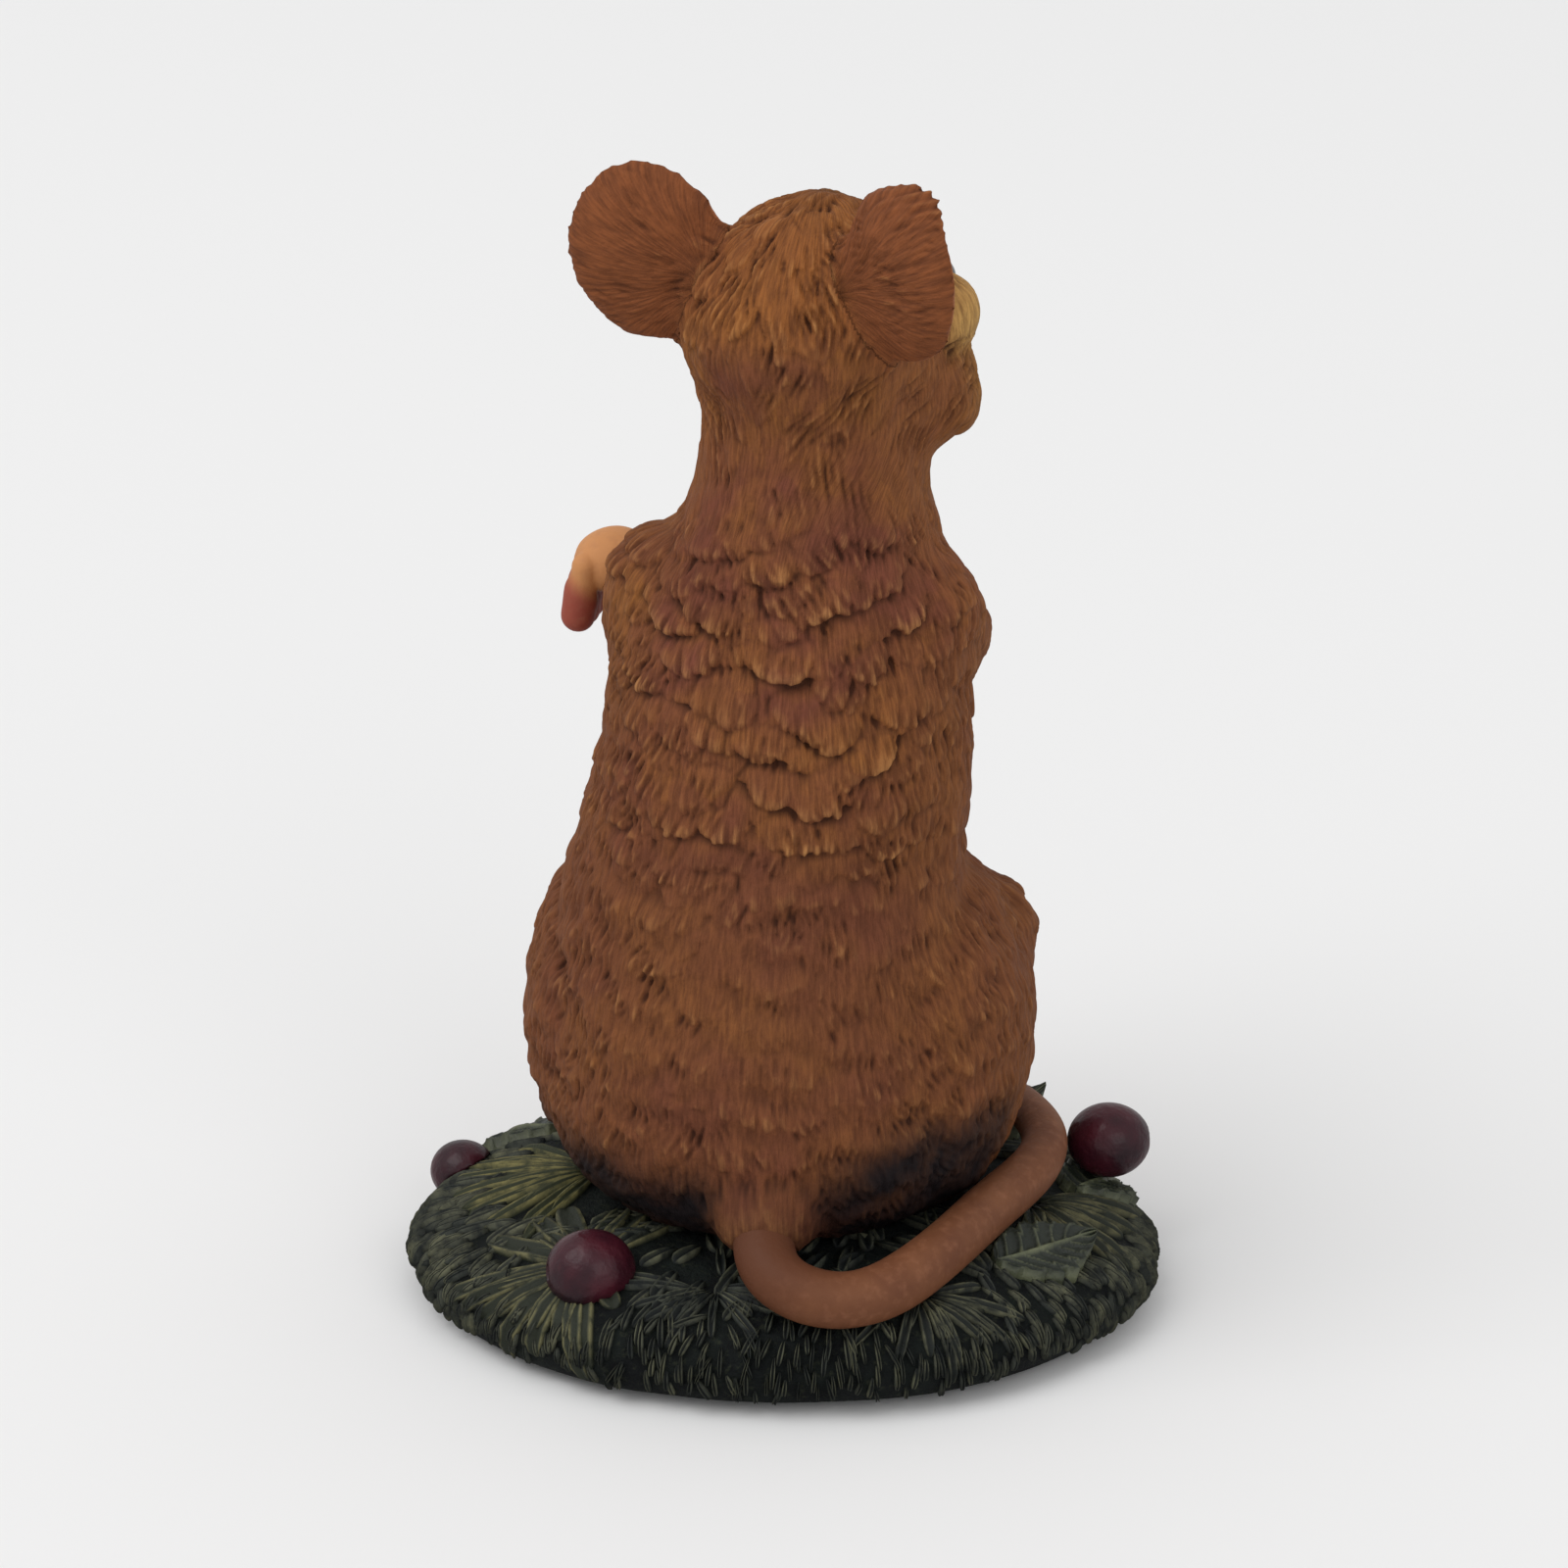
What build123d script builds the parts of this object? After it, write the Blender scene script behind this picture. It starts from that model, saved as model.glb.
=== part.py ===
# Mouse figurine: a small hand-painted cast-resin ornament. A mouse sits upright on an oval mound
# of evergreen needles, leaves and berries. Its head is turned a little to its right, and its tail
# curls round its right haunch. All sizes are millimetres.
#
# Frame: the origin is the centre of the felt pad's underside, on the table. +Z is up, the mouse
# faces +Y, and +X is its right-hand side.

from build123d import *
from math import hypot, pi, sin, sqrt
import os

# Mound: an oval pad with a flat seat in the middle, a rounded edge and an undercut foot. Its long
# side is turned a little from the mouse's own left and right.
BASE_WIDTH = 47.4
BASE_DEPTH = 36.8
BASE_TURN = 11.0
BASE_TOP = 7.2
BASE_BELLY_HEIGHT = 2.6
BASE_UNDERCUT = 1.4
SEAT_WIDTH = 21.0

# Felt pad, glued into a recess in the mound's underside
FELT_THICKNESS = 1.0
FELT_RECESS = 0.6
FELT_MARGIN = 2.6
FELT_CLEARANCE = 0.15

# Body: rump, back, chest and neck in one casting, with the two haunches
BODY_WIDTH = 28.0
BODY_DEPTH = 24.5
BODY_HEIGHT = 46.8
HIP_WIDTH = 31.8
HIP_SHIFT = -0.65
THIGH_WIDTH = 13.4
THIGH_LENGTH = 20.0
THIGH_HEIGHT = 23.6
KNEE_RADIUS = 4.3

# Head: skull, cheeks, brows and muzzle in one casting
HEAD_WIDTH = 15.2
HEAD_LENGTH = 16.4
HEAD_HEIGHT = 16.4
HEAD_RISE = 9.4
SKULL_SHIFT = -0.1
SKULL_FORWARD = 1.1
NECK_TOP_WIDTH = 13.0
NECK_TOP_DEPTH = 11.6
HEAD_YAW = 14.0
HEAD_PITCH = 6.0
HEAD_ROLL = 4.0
MUZZLE_REACH = 13.8
MUZZLE_ROOT_RADIUS = 5.4
MUZZLE_BRIDGE_RADIUS = 4.1
MUZZLE_TIP_RADIUS = 2.5
CHEEK_RADIUS = 4.4
BROW_RADIUS = 2.6
NOSE_RADIUS = 1.2
EYE_RADIUS = 1.5
EYE_CLEARANCE = 0.04

# Ears: two thin dished ovals, each on a short root
EAR_WIDTH = 10.2
EAR_HEIGHT = 12.2
EAR_DISH = 2.6
EAR_WALL = 1.0
EAR_TILT = 24.0
EAR_SPLAY = 25.0
EAR_ROOT_RADIUS = 2.2

# Arms and paws
SHOULDER_RADIUS = 4.0
ELBOW_RADIUS = 3.1
WRIST_RADIUS = 1.9
PALM_WIDTH = 5.0
PALM_LENGTH = 5.2
PALM_THICKNESS = 4.0
FINGER_RADIUS = 0.95
FINGER_LENGTH = 3.2
FINGER_TIP_SHARE = 0.8
FINGER_CURL_SHARE = 0.4

# Hind feet
FOOT_WIDTH = 5.0
FOOT_LENGTH = 11.0
FOOT_THICKNESS = 3.6
TOE_RADIUS = 1.0
TOE_TIP_SHARE = 0.7

# Tail
TAIL_ROOT_RADIUS = 2.0
TAIL_RADIUS = 1.75
TAIL_TIP_RADIUS = 0.9
TAIL_ROOT_SHARE = 0.3
TAIL_TAPER = 3

# Berries
BERRY_RADIUS = 2.4
BERRY_STRETCH = 1.12
BERRY_EYE_RADIUS = 0.55

# Needles and leaves, in low relief on the mound
NEEDLE_LENGTH = 7.4
NEEDLE_WIDTH = 0.95
NEEDLE_RELIEF = 0.8
NEEDLE_SHORTENING = 0.12
LEAF_LENGTH = 8.0
LEAF_WIDTH = 5.2
LEAF_RELIEF = 1.1
LEAF_FULLNESS = 0.8

# Steel wire pins that key the castings together inside
PIN_RADIUS = 0.9
PIN_CLEARANCE = 0.05
SEAT_PIN_LENGTH = 8.4
SEAT_PIN_SPREAD = 10.0
NECK_PIN_LENGTH = 12.0

# The mound's foot stands clear of the table by what the felt pad stands proud
FOOT_Z = FELT_THICKNESS - FELT_RECESS

# Body sections from the seat to the top of the neck. Each row gives the height as a share of the
# body's height, the width and the depth as shares of the body's own, and the section's centre,
# sideways and forwards, as shares of half the width and half the depth.
BODY_SECTION_SHARES = [
    (0.000, 0.700, 0.580, -0.060, -0.080),
    (0.045, 0.880, 0.800, -0.060, -0.095),
    (0.134, 0.990, 0.960, -0.060, -0.110),
    (0.252, 1.000, 1.000, -0.060, -0.080),
    (0.402, 0.935, 0.900, -0.075, -0.055),
    (0.551, 0.850, 0.780, -0.040, -0.015),
    (0.700, 0.815, 0.710, 0.015, 0.015),
    (0.829, 0.745, 0.640, 0.030, 0.035),
    (0.926, 0.600, 0.560, 0.075, 0.070),
    (1.000, 0.512, 0.522, 0.108, 0.100),
]

# Haunch and knee: centres sideways as shares of half the hip width, forwards as shares of half
# the body's depth, and upwards as shares of the body's height
THIGH_PLACE_SHARES = (0.595, 0.14, 0.236)
KNEE_PLACE_SHARES = (0.715, 0.50, 0.329)

# Limb joints as shares of half the body's width, half its depth and its height
ARM_LEFT_SHARES = [(-0.540, 0.04, 0.842), (-0.690, 0.41, 0.756), (-0.800, 0.60, 0.799)]
ARM_RIGHT_SHARES = [(0.600, 0.04, 0.842), (0.625, 0.41, 0.772), (0.600, 0.66, 0.790)]
PALM_LEFT_SHARES = (-0.900, 0.62, 0.817)
PALM_RIGHT_SHARES = (0.430, 0.84, 0.800)
FINGER_SPREAD_SHARES = (-0.36, -0.12, 0.12, 0.36)

# Head features as shares of half the skull's width, length and height, for the right-hand side
CHEEK_PLACE_SHARES = (0.53, 0.38, -0.50)
BROW_PLACE_SHARES = (0.70, 0.50, 0.04)
EYE_PLACE_SHARES = (0.62, 0.80, 0.12)
EAR_PLACE_SHARES = (1.10, -0.45, 0.69)
EAR_ROOT_PLACE_SHARES = (0.56, -0.26, 0.56)
MUZZLE_DROP_SHARE = 0.24

# Hind feet: places as shares of half the hip width and half the body's depth
FOOT_PLACE_SHARES = (0.52, 0.86)
FOOT_TURN = 12.0

# Tail route: sideways and forwards as shares of half the mound's width and depth, height as a
# share of the mound's height, and the radius as a share of the tail's own
TAIL_ROUTE_SHARES = [
    (-0.019, -0.455, 1.56),
    (-0.035, -0.662, 1.36),
    (0.001, -0.816, 1.14),
    (0.152, -0.869, 0.99),
    (0.392, -0.652, 1.08),
    (0.566, -0.283, 1.18),
    (0.696, 0.068, 1.30),
    (0.640, 0.345, 1.34),
    (0.552, 0.582, 1.26),
]

# Berries: name, place as shares of half the mound's width and depth, height of the centre above
# the mound's surface and size as shares of the berry's radius, and the way its eye points
BERRY_SHARES = [
    ("berry_left_rear", -0.487, -0.629, 0.20, 1.05, 189.0),
    ("berry_left_side", -0.885, 0.366, -0.10, 0.84, 159.0),
    ("berry_right_side", 0.870, 0.250, 1.25, 1.00, 9.0),
    ("berry_left_front", -0.500, 0.730, 0.50, 1.00, 119.0),
    ("berry_centre_front", 0.186, 0.820, 0.45, 0.95, 69.0),
]

# Needle sprays: name, hub as shares of half the mound's width and depth, the middle direction and
# the spread in degrees, and the number of needles
SPRAY_SHARES = [
    ("spray_left_rear", -0.548, -0.488, 179.0, 150.0, 7),
    ("spray_left_side", -0.600, 0.100, 190.0, 70.0, 5),
    ("spray_left_front", -0.160, 0.720, 92.0, 60.0, 4),
    ("spray_right_rear", 0.369, -0.697, 289.0, 80.0, 5),
    ("spray_right_side", 0.730, -0.082, 334.0, 100.0, 6),
    ("spray_front", 0.440, 0.640, 38.0, 76.0, 5),
    ("spray_rear", -0.165, -0.684, 257.0, 60.0, 4),
]

# Leaves: name, middle as shares of half the mound's width and depth, and the way the tip points
LEAF_SHARES = [
    ("leaf_right_rear", 0.730, -0.440, 49.0),
    ("leaf_right_side", 0.847, 0.211, 64.0),
    ("leaf_left_front", -0.400, 0.740, 118.0),
    ("leaf_left_side", -0.745, 0.545, 140.0),
]
LEAF_TEETH = 5
LEAF_TOOTH_SHARE = 0.10


def ellipsoid(width, depth, height, seam=0):
    """A ball stretched to three overall sizes. Its surface closes on the meridian at the seam."""
    return scale(Rot(0, 0, seam) * Sphere(1), by=(width / 2, depth / 2, height / 2))


def limb(points, radii):
    """A rounded limb: balls at the points, joined by cones that run from ball to ball."""
    form = Pos(*points[0]) * Sphere(radii[0])
    for start, end, start_radius, end_radius in zip(points, points[1:], radii, radii[1:]):
        a = Vector(*start)
        along = Vector(*end) - a
        middle = Plane(origin=a + along / 2, z_dir=along).location
        if start_radius == end_radius:
            form += middle * Cylinder(start_radius, along.length)
        else:
            form += middle * Cone(start_radius, end_radius, along.length)
        form += Pos(*end) * Sphere(end_radius)
    return form


def on_mound(x_share, y_share):
    """A place in plan, from shares of half the mound's width and half its depth, with its turn."""
    spot = Vector(x_share * BASE_WIDTH / 2, y_share * BASE_DEPTH / 2).rotate(Axis.Z, BASE_TURN)
    return spot.X, spot.Y


def mound_height(x, y):
    """Height of the mound's top surface above the table at a place in plan."""
    seat_share = SEAT_WIDTH / BASE_WIDTH
    spot = Vector(x, y).rotate(Axis.Z, -BASE_TURN)
    reach = hypot(spot.X / (BASE_WIDTH / 2), spot.Y / (BASE_DEPTH / 2))
    out_share = min(1, max(0, (reach - seat_share) / (1 - seat_share)))
    return BASE_BELLY_HEIGHT + (BASE_TOP - BASE_BELLY_HEIGHT) * sqrt(1 - out_share ** 2)


def mound_form(relief=0):
    """The mound's solid, grown outwards by a relief: a turned profile drawn in to an oval."""
    half = BASE_WIDTH / 2 + relief
    seat = SEAT_WIDTH / 2
    foot = half - BASE_UNDERCUT
    top = BASE_TOP + relief
    rise = top - BASE_BELLY_HEIGHT
    drop = BASE_BELLY_HEIGHT - FOOT_Z
    with BuildSketch(Plane.XZ) as profile:
        with BuildLine():
            Line((0, FOOT_Z), (foot, FOOT_Z))
            EllipticalCenterArc((foot, BASE_BELLY_HEIGHT), BASE_UNDERCUT, drop, 270, arc_size=90)
            EllipticalCenterArc((seat, BASE_BELLY_HEIGHT), half - seat, rise, 0, arc_size=90)
            Line((seat, top), (0, top))
            Line((0, top), (0, FOOT_Z))
        make_face()
    turned = revolve(profile.sketch, axis=Axis.Z)
    return Rot(0, 0, BASE_TURN) * scale(turned, by=(1, (BASE_DEPTH / 2 + relief) / half, 1))


def on_body(x_share, y_share, z_share):
    """A place from shares of half the body's width, half its depth and its height."""
    return (
        x_share * BODY_WIDTH / 2,
        y_share * BODY_DEPTH / 2,
        BASE_TOP + z_share * BODY_HEIGHT,
    )


def body_form():
    """The pear-shaped trunk, lofted through ovals, with a haunch and a knee on each side."""
    sections = []
    for height_share, width_share, depth_share, side_share, forward_share in BODY_SECTION_SHARES:
        oval = Ellipse(width_share * BODY_WIDTH / 2, depth_share * BODY_DEPTH / 2)
        sections.append(Pos(*on_body(side_share, forward_share, height_share)) * oval)
    form = loft(sections)
    for side in (-1, 1):
        for shares, lump in (
            (THIGH_PLACE_SHARES, ellipsoid(THIGH_WIDTH, THIGH_LENGTH, THIGH_HEIGHT)),
            (KNEE_PLACE_SHARES, Sphere(KNEE_RADIUS)),
        ):
            x_share, y_share, z_share = shares
            x = HIP_SHIFT + side * x_share * HIP_WIDTH / 2
            form += Pos(x, y_share * BODY_DEPTH / 2, BASE_TOP + z_share * BODY_HEIGHT) * lump
    return form


def neck_centre():
    """The middle of the flat joint between neck and body."""
    return on_body(*BODY_SECTION_SHARES[-1][3:5], 1)


def neck_form():
    """The neck, from the flat joint up into the skull."""
    x, y, z = neck_centre()
    joint = BODY_SECTION_SHARES[-1]
    foot = Ellipse(joint[1] * BODY_WIDTH / 2, joint[2] * BODY_DEPTH / 2)
    top = Ellipse(NECK_TOP_WIDTH / 2, NECK_TOP_DEPTH / 2)
    return loft([Pos(x, y, z) * foot, Pos(x + SKULL_SHIFT, y + SKULL_FORWARD, z + HEAD_RISE) * top])


def head_place():
    """The skull's centre and turn: yawed to the mouse's right and tipped a little upwards."""
    x, y, z = neck_centre()
    centre = Pos(x + SKULL_SHIFT, y + SKULL_FORWARD, z + HEAD_RISE)
    return centre * Rot(0, 0, -HEAD_YAW) * Rot(HEAD_PITCH, 0, 0) * Rot(0, -HEAD_ROLL, 0)


def on_head(shares, side=1):
    """A place in the head's own frame, from shares of half its width, length and height."""
    x_share, y_share, z_share = shares
    x = side * x_share * HEAD_WIDTH / 2
    return x, y_share * HEAD_LENGTH / 2, z_share * HEAD_HEIGHT / 2


def on_muzzle(reach):
    """A place on the muzzle's midline, that far in front of the skull's centre."""
    return 0, reach, -MUZZLE_DROP_SHARE * HEAD_HEIGHT / 2


def head_form():
    """Skull, muzzle, cheeks and brows, in the head's own frame."""
    tip = MUZZLE_REACH - MUZZLE_TIP_RADIUS
    stops = [on_muzzle(0), on_muzzle(tip / 2), on_muzzle(tip)]
    form = ellipsoid(HEAD_WIDTH, HEAD_LENGTH, HEAD_HEIGHT, seam=270)
    form += limb(stops, [MUZZLE_ROOT_RADIUS, MUZZLE_BRIDGE_RADIUS, MUZZLE_TIP_RADIUS])
    for side in (-1, 1):
        form += Pos(*on_head(CHEEK_PLACE_SHARES, side)) * Sphere(CHEEK_RADIUS)
        form += Pos(*on_head(BROW_PLACE_SHARES, side)) * Sphere(BROW_RADIUS)
    return form


def ear_form(side):
    """A dished oval that opens forwards, with its root, in the head's own frame."""
    middle = on_head(EAR_PLACE_SHARES, side)
    root_start = on_head(EAR_ROOT_PLACE_SHARES, side)
    root_end = tuple((a + b) / 2 for a, b in zip(root_start, middle))
    turn = Pos(*middle) * Rot(0, 0, side * -EAR_SPLAY) * Rot(0, side * EAR_TILT, 0)
    hollow = ellipsoid(
        EAR_WIDTH - 2 * EAR_WALL, 2 * (EAR_DISH - EAR_WALL), EAR_HEIGHT - 2 * EAR_WALL
    )
    hollow += Pos(0, EAR_WIDTH, 0) * Box(2 * EAR_WIDTH, 2 * EAR_WIDTH, 2 * EAR_HEIGHT)
    form = turn * ellipsoid(EAR_WIDTH, 2 * EAR_DISH, EAR_HEIGHT)
    form += limb([root_start, root_end], [EAR_ROOT_RADIUS, EAR_ROOT_RADIUS])
    return form - turn * hollow


def arm_form(joint_shares):
    """Upper arm and forearm, from the shoulder to the wrist."""
    joints = [on_body(*shares) for shares in joint_shares]
    return limb(joints, [SHOULDER_RADIUS, ELBOW_RADIUS, WRIST_RADIUS])


def paw_form(palm_shares, side):
    """A palm with four fingers that curl down on its outer side."""
    palm = ellipsoid(PALM_WIDTH, PALM_LENGTH, PALM_THICKNESS, seam=90)
    knuckle = PALM_WIDTH / 2 - FINGER_RADIUS
    tip_radius = FINGER_TIP_SHARE * FINGER_RADIUS
    for share in FINGER_SPREAD_SHARES:
        y = share * PALM_LENGTH
        start = (side * knuckle * (1 - share ** 2), y, 0)
        end = (side * (knuckle + FINGER_CURL_SHARE * FINGER_RADIUS), y, -FINGER_LENGTH)
        palm += limb([start, end], [FINGER_RADIUS, tip_radius])
    return Pos(*on_body(*palm_shares)) * palm


def foot_form(side):
    """A flat hind foot with its toes pointing forwards and outwards."""
    x_share, y_share = FOOT_PLACE_SHARES
    x = HIP_SHIFT + side * x_share * HIP_WIDTH / 2
    y = y_share * BODY_DEPTH / 2
    sole = ellipsoid(FOOT_WIDTH, FOOT_LENGTH, FOOT_THICKNESS)
    for share in FINGER_SPREAD_SHARES:
        x_toe = share * FOOT_WIDTH
        reach = FOOT_LENGTH / 2 * (1 - share ** 2)
        sole += limb(
            [(x_toe, reach - 2 * TOE_RADIUS, 0), (x_toe, reach + TOE_RADIUS / 2, -TOE_RADIUS / 2)],
            [TOE_RADIUS, TOE_TIP_SHARE * TOE_RADIUS],
        )
    return Pos(x, y, mound_height(x, y) + FOOT_THICKNESS / 4) * Rot(0, 0, -side * FOOT_TURN) * sole


def tail_form():
    """The tail: a loft through circles along a smooth route, thinning to a round tip."""
    stops = []
    for x_share, y_share, z_share in TAIL_ROUTE_SHARES:
        x, y = on_mound(x_share, y_share)
        stops.append((x, y, z_share * BASE_TOP))
    route = Spline(*stops)
    count = 2 * len(stops)
    sections = []
    for step in range(count + 1):
        along = step / count
        if along < TAIL_ROOT_SHARE:
            radius = TAIL_ROOT_RADIUS + (TAIL_RADIUS - TAIL_ROOT_RADIUS) * along / TAIL_ROOT_SHARE
        else:
            past = (along - TAIL_ROOT_SHARE) / (1 - TAIL_ROOT_SHARE)
            radius = TAIL_RADIUS + (TAIL_TIP_RADIUS - TAIL_RADIUS) * past ** TAIL_TAPER
        sections.append(Plane(origin=route @ along, z_dir=route % along) * Circle(radius))
    return loft(sections) + Pos(*stops[-1]) * Sphere(TAIL_TIP_RADIUS)


def berry_form(x_share, y_share, lift_share, size_share, turn):
    """A slightly long berry, its dried flower pressed in as a dimple at one end."""
    x, y = on_mound(x_share, y_share)
    radius = BERRY_RADIUS * size_share
    ball = ellipsoid(2 * radius * BERRY_STRETCH, 2 * radius, 2 * radius, seam=90)
    ball -= Pos(radius * BERRY_STRETCH, 0, 0) * Sphere(BERRY_EYE_RADIUS)
    spot = Pos(x, y, mound_height(x, y) + lift_share * BERRY_RADIUS)
    return spot * Rot(0, 0, BASE_TURN + turn) * ball


def relief_prism(outline):
    """An upright prism over an outline in plan, from half the belly's height to past the top."""
    return Pos(0, 0, BASE_BELLY_HEIGHT / 2) * extrude(outline, BASE_TOP + LEAF_RELIEF + NEEDLE_RELIEF)


def spray_form(x_share, y_share, middle, spread, count):
    """A fan of round-ended needles that lies on the mound's surface like a shallow carving."""
    x, y = on_mound(x_share, y_share)
    fan = Circle(NEEDLE_WIDTH)
    for index in range(count):
        turn = BASE_TURN + middle - spread / 2 + spread * index / (count - 1)
        reach = NEEDLE_LENGTH * (1 - NEEDLE_SHORTENING * (index % 2))
        fan += Rot(0, 0, turn) * Pos(reach / 2, 0) * SlotOverall(reach, NEEDLE_WIDTH)
    return relief_prism(Pos(x, y) * fan) & (mound_form(NEEDLE_RELIEF) - mound_form())


def leaf_form(x_share, y_share, turn):
    """A pointed leaf with toothed edges, lying on the mound's surface."""
    x, y = on_mound(x_share, y_share)
    half = LEAF_LENGTH / 2
    edge = []
    for index in range(2 * LEAF_TEETH):
        share = index / (2 * LEAF_TEETH)
        tooth = LEAF_TOOTH_SHARE * (index % 2)
        width = sin(pi * share ** LEAF_FULLNESS) * (1 + tooth) + tooth
        edge.append((-half + share * LEAF_LENGTH, width * LEAF_WIDTH / 2))
    points = edge + [(half, 0)] + [(x_edge, -y_edge) for x_edge, y_edge in edge[:0:-1]]
    blade = make_face(Polyline(*points, close=True))
    laid = Pos(x, y) * Rot(0, 0, BASE_TURN + turn) * blade
    return relief_prism(laid) & (mound_form(LEAF_RELIEF) - mound_form())


def pin_form(length, clearance=0):
    """A straight wire pin, or with a clearance the hole that it is pushed into."""
    return Cylinder(PIN_RADIUS + clearance, length + 2 * clearance)


def without(form, *others):
    """A form with what others take up cut away."""
    for other in others:
        form -= other
    return form


def main_piece(form):
    """The largest solid of a form, without the chips that a cut leaves at its edge."""
    return max(form.solids(), key=lambda solid: solid.volume)


os.makedirs("parts", exist_ok=True)

pieces = {}

# Pins first, because the castings are drilled for them
seat_pin_places = [Pos(side * SEAT_PIN_SPREAD / 2, 0, BASE_TOP) for side in (-1, 1)]
neck_pin_place = Pos(*neck_centre())
seat_pins = Part() + [place * pin_form(SEAT_PIN_LENGTH) for place in seat_pin_places]
seat_holes = Part() + [place * pin_form(SEAT_PIN_LENGTH, PIN_CLEARANCE) for place in seat_pin_places]
neck_hole = neck_pin_place * pin_form(NECK_PIN_LENGTH, PIN_CLEARANCE)
pieces["seat_pins"] = seat_pins
pieces["neck_pin"] = neck_pin_place * pin_form(NECK_PIN_LENGTH)

# Mound and felt pad
felt_width = BASE_WIDTH - 2 * (BASE_UNDERCUT + FELT_MARGIN)
felt_depth = BASE_DEPTH - 2 * (BASE_UNDERCUT + FELT_MARGIN)
mound = mound_form()
felt_turn = Rot(0, 0, BASE_TURN)
felt_oval = Ellipse(felt_width / 2, felt_depth / 2)
recess_oval = Ellipse(felt_width / 2 + FELT_CLEARANCE, felt_depth / 2 + FELT_CLEARANCE)
recess = felt_turn * extrude(recess_oval, FELT_THICKNESS)
pieces["felt_pad"] = felt_turn * extrude(felt_oval, FELT_THICKNESS)
pieces["base_mound"] = without(mound, recess, seat_holes)

# Body, head and what is set in them
body = without(body_form(), mound)
pieces["body"] = without(body, seat_holes, neck_hole)
place = head_place()
head_outside = place * head_form() + neck_form()
eyes = {side: place * Pos(*on_head(EYE_PLACE_SHARES, side)) * Sphere(EYE_RADIUS) for side in (-1, 1)}
sockets = [
    place * Pos(*on_head(EYE_PLACE_SHARES, side)) * Sphere(EYE_RADIUS + EYE_CLEARANCE)
    for side in (-1, 1)
]
nose = place * Pos(*on_muzzle(MUZZLE_REACH - NOSE_RADIUS / 2)) * Sphere(NOSE_RADIUS)
pieces["head"] = without(head_outside, body, neck_hole, *sockets)
pieces["nose"] = without(nose, head_outside)
for side, name in ((-1, "left"), (1, "right")):
    pieces["eye_" + name] = eyes[side]
    pieces["ear_" + name] = without(place * ear_form(side), head_outside)

# Arms, paws, feet and tail
for side, name, arm_shares, palm_shares in (
    (-1, "left", ARM_LEFT_SHARES, PALM_LEFT_SHARES),
    (1, "right", ARM_RIGHT_SHARES, PALM_RIGHT_SHARES),
):
    arm = without(arm_form(arm_shares), body)
    pieces["arm_" + name] = arm
    pieces["paw_" + name] = without(paw_form(palm_shares, side), body, arm)
    pieces["foot_" + name] = without(foot_form(side), body, mound)
feet = [pieces["foot_left"], pieces["foot_right"]]
pieces["tail"] = without(tail_form(), body, mound, *feet)

# Berries, leaves and needle sprays, each trimmed where it meets what lies over it
laid = [body, pieces["tail"], *feet]
for name, *shares in BERRY_SHARES:
    pieces[name] = without(berry_form(*shares), mound, *laid)
    laid.append(pieces[name])
for name, *shares in LEAF_SHARES:
    pieces[name] = main_piece(without(leaf_form(*shares), *laid))
    laid.append(pieces[name])
for name, *shares in SPRAY_SHARES:
    pieces[name] = main_piece(without(spray_form(*shares), *laid))
    laid.append(pieces[name])

for name, piece in pieces.items():
    export_step(piece, f"parts/{name}.step")
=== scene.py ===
from itertools import product
from math import cos, pi, radians, sin

import bmesh
import bpy
import numpy as np
from mathutils import Matrix, Vector, kdtree


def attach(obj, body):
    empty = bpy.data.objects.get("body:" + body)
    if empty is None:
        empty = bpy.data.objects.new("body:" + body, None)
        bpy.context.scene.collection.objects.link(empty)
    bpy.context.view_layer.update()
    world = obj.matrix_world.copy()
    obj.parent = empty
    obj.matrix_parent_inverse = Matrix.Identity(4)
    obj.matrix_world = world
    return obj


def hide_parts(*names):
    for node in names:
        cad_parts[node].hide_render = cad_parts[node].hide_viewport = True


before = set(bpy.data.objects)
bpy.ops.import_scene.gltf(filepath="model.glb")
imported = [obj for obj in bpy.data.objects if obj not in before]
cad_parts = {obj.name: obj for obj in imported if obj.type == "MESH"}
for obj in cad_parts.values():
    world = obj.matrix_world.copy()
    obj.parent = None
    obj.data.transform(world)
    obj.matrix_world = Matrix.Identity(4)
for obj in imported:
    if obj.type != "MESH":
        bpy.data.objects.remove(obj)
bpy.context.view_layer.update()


# Felt pad: a thin oval of dark green craft felt, glued into the recess under the mound so that the
# figurine doesn't mark a shelf. Its solid is right as it is, and gets the look of matted wool.
def add(tree, kind, inputs=None, **settings):
    """A node in a tree, with its settings, and each input as a value or the socket that feeds it."""
    node = tree.nodes.new(kind)
    for name, value in settings.items():
        setattr(node, name, value)
    for name, value in (inputs or {}).items():
        if isinstance(value, bpy.types.NodeSocket):
            tree.links.new(value, node.inputs[name])
        else:
            node.inputs[name].default_value = value
    return node


def colour(red, green, blue):
    """A paint colour from its 0 to 255 values, as a shader wants it."""
    share = np.array((red, green, blue)) / 255
    linear = np.where(share < 0.04045, share / 12.92, ((share + 0.055) / 1.055) ** 2.4)
    return (*linear, 1.0)


def new_finish(name, **sockets):
    """A material with its shader's plain sockets set, and object coordinates in millimetres."""
    material = bpy.data.materials.new(name)
    material.use_nodes = True
    tree = material.node_tree
    shader = tree.nodes["Principled BSDF"]
    for socket, value in sockets.items():
        shader.inputs[socket.replace("_", " ")].default_value = value
    where = add(tree, "ShaderNodeTexCoord").outputs["Object"]
    where = add(tree, "ShaderNodeVectorMath", {0: where, 1: (1000, 1000, 1000)}, operation="MULTIPLY")
    return material, tree, shader, where.outputs[0]


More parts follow.
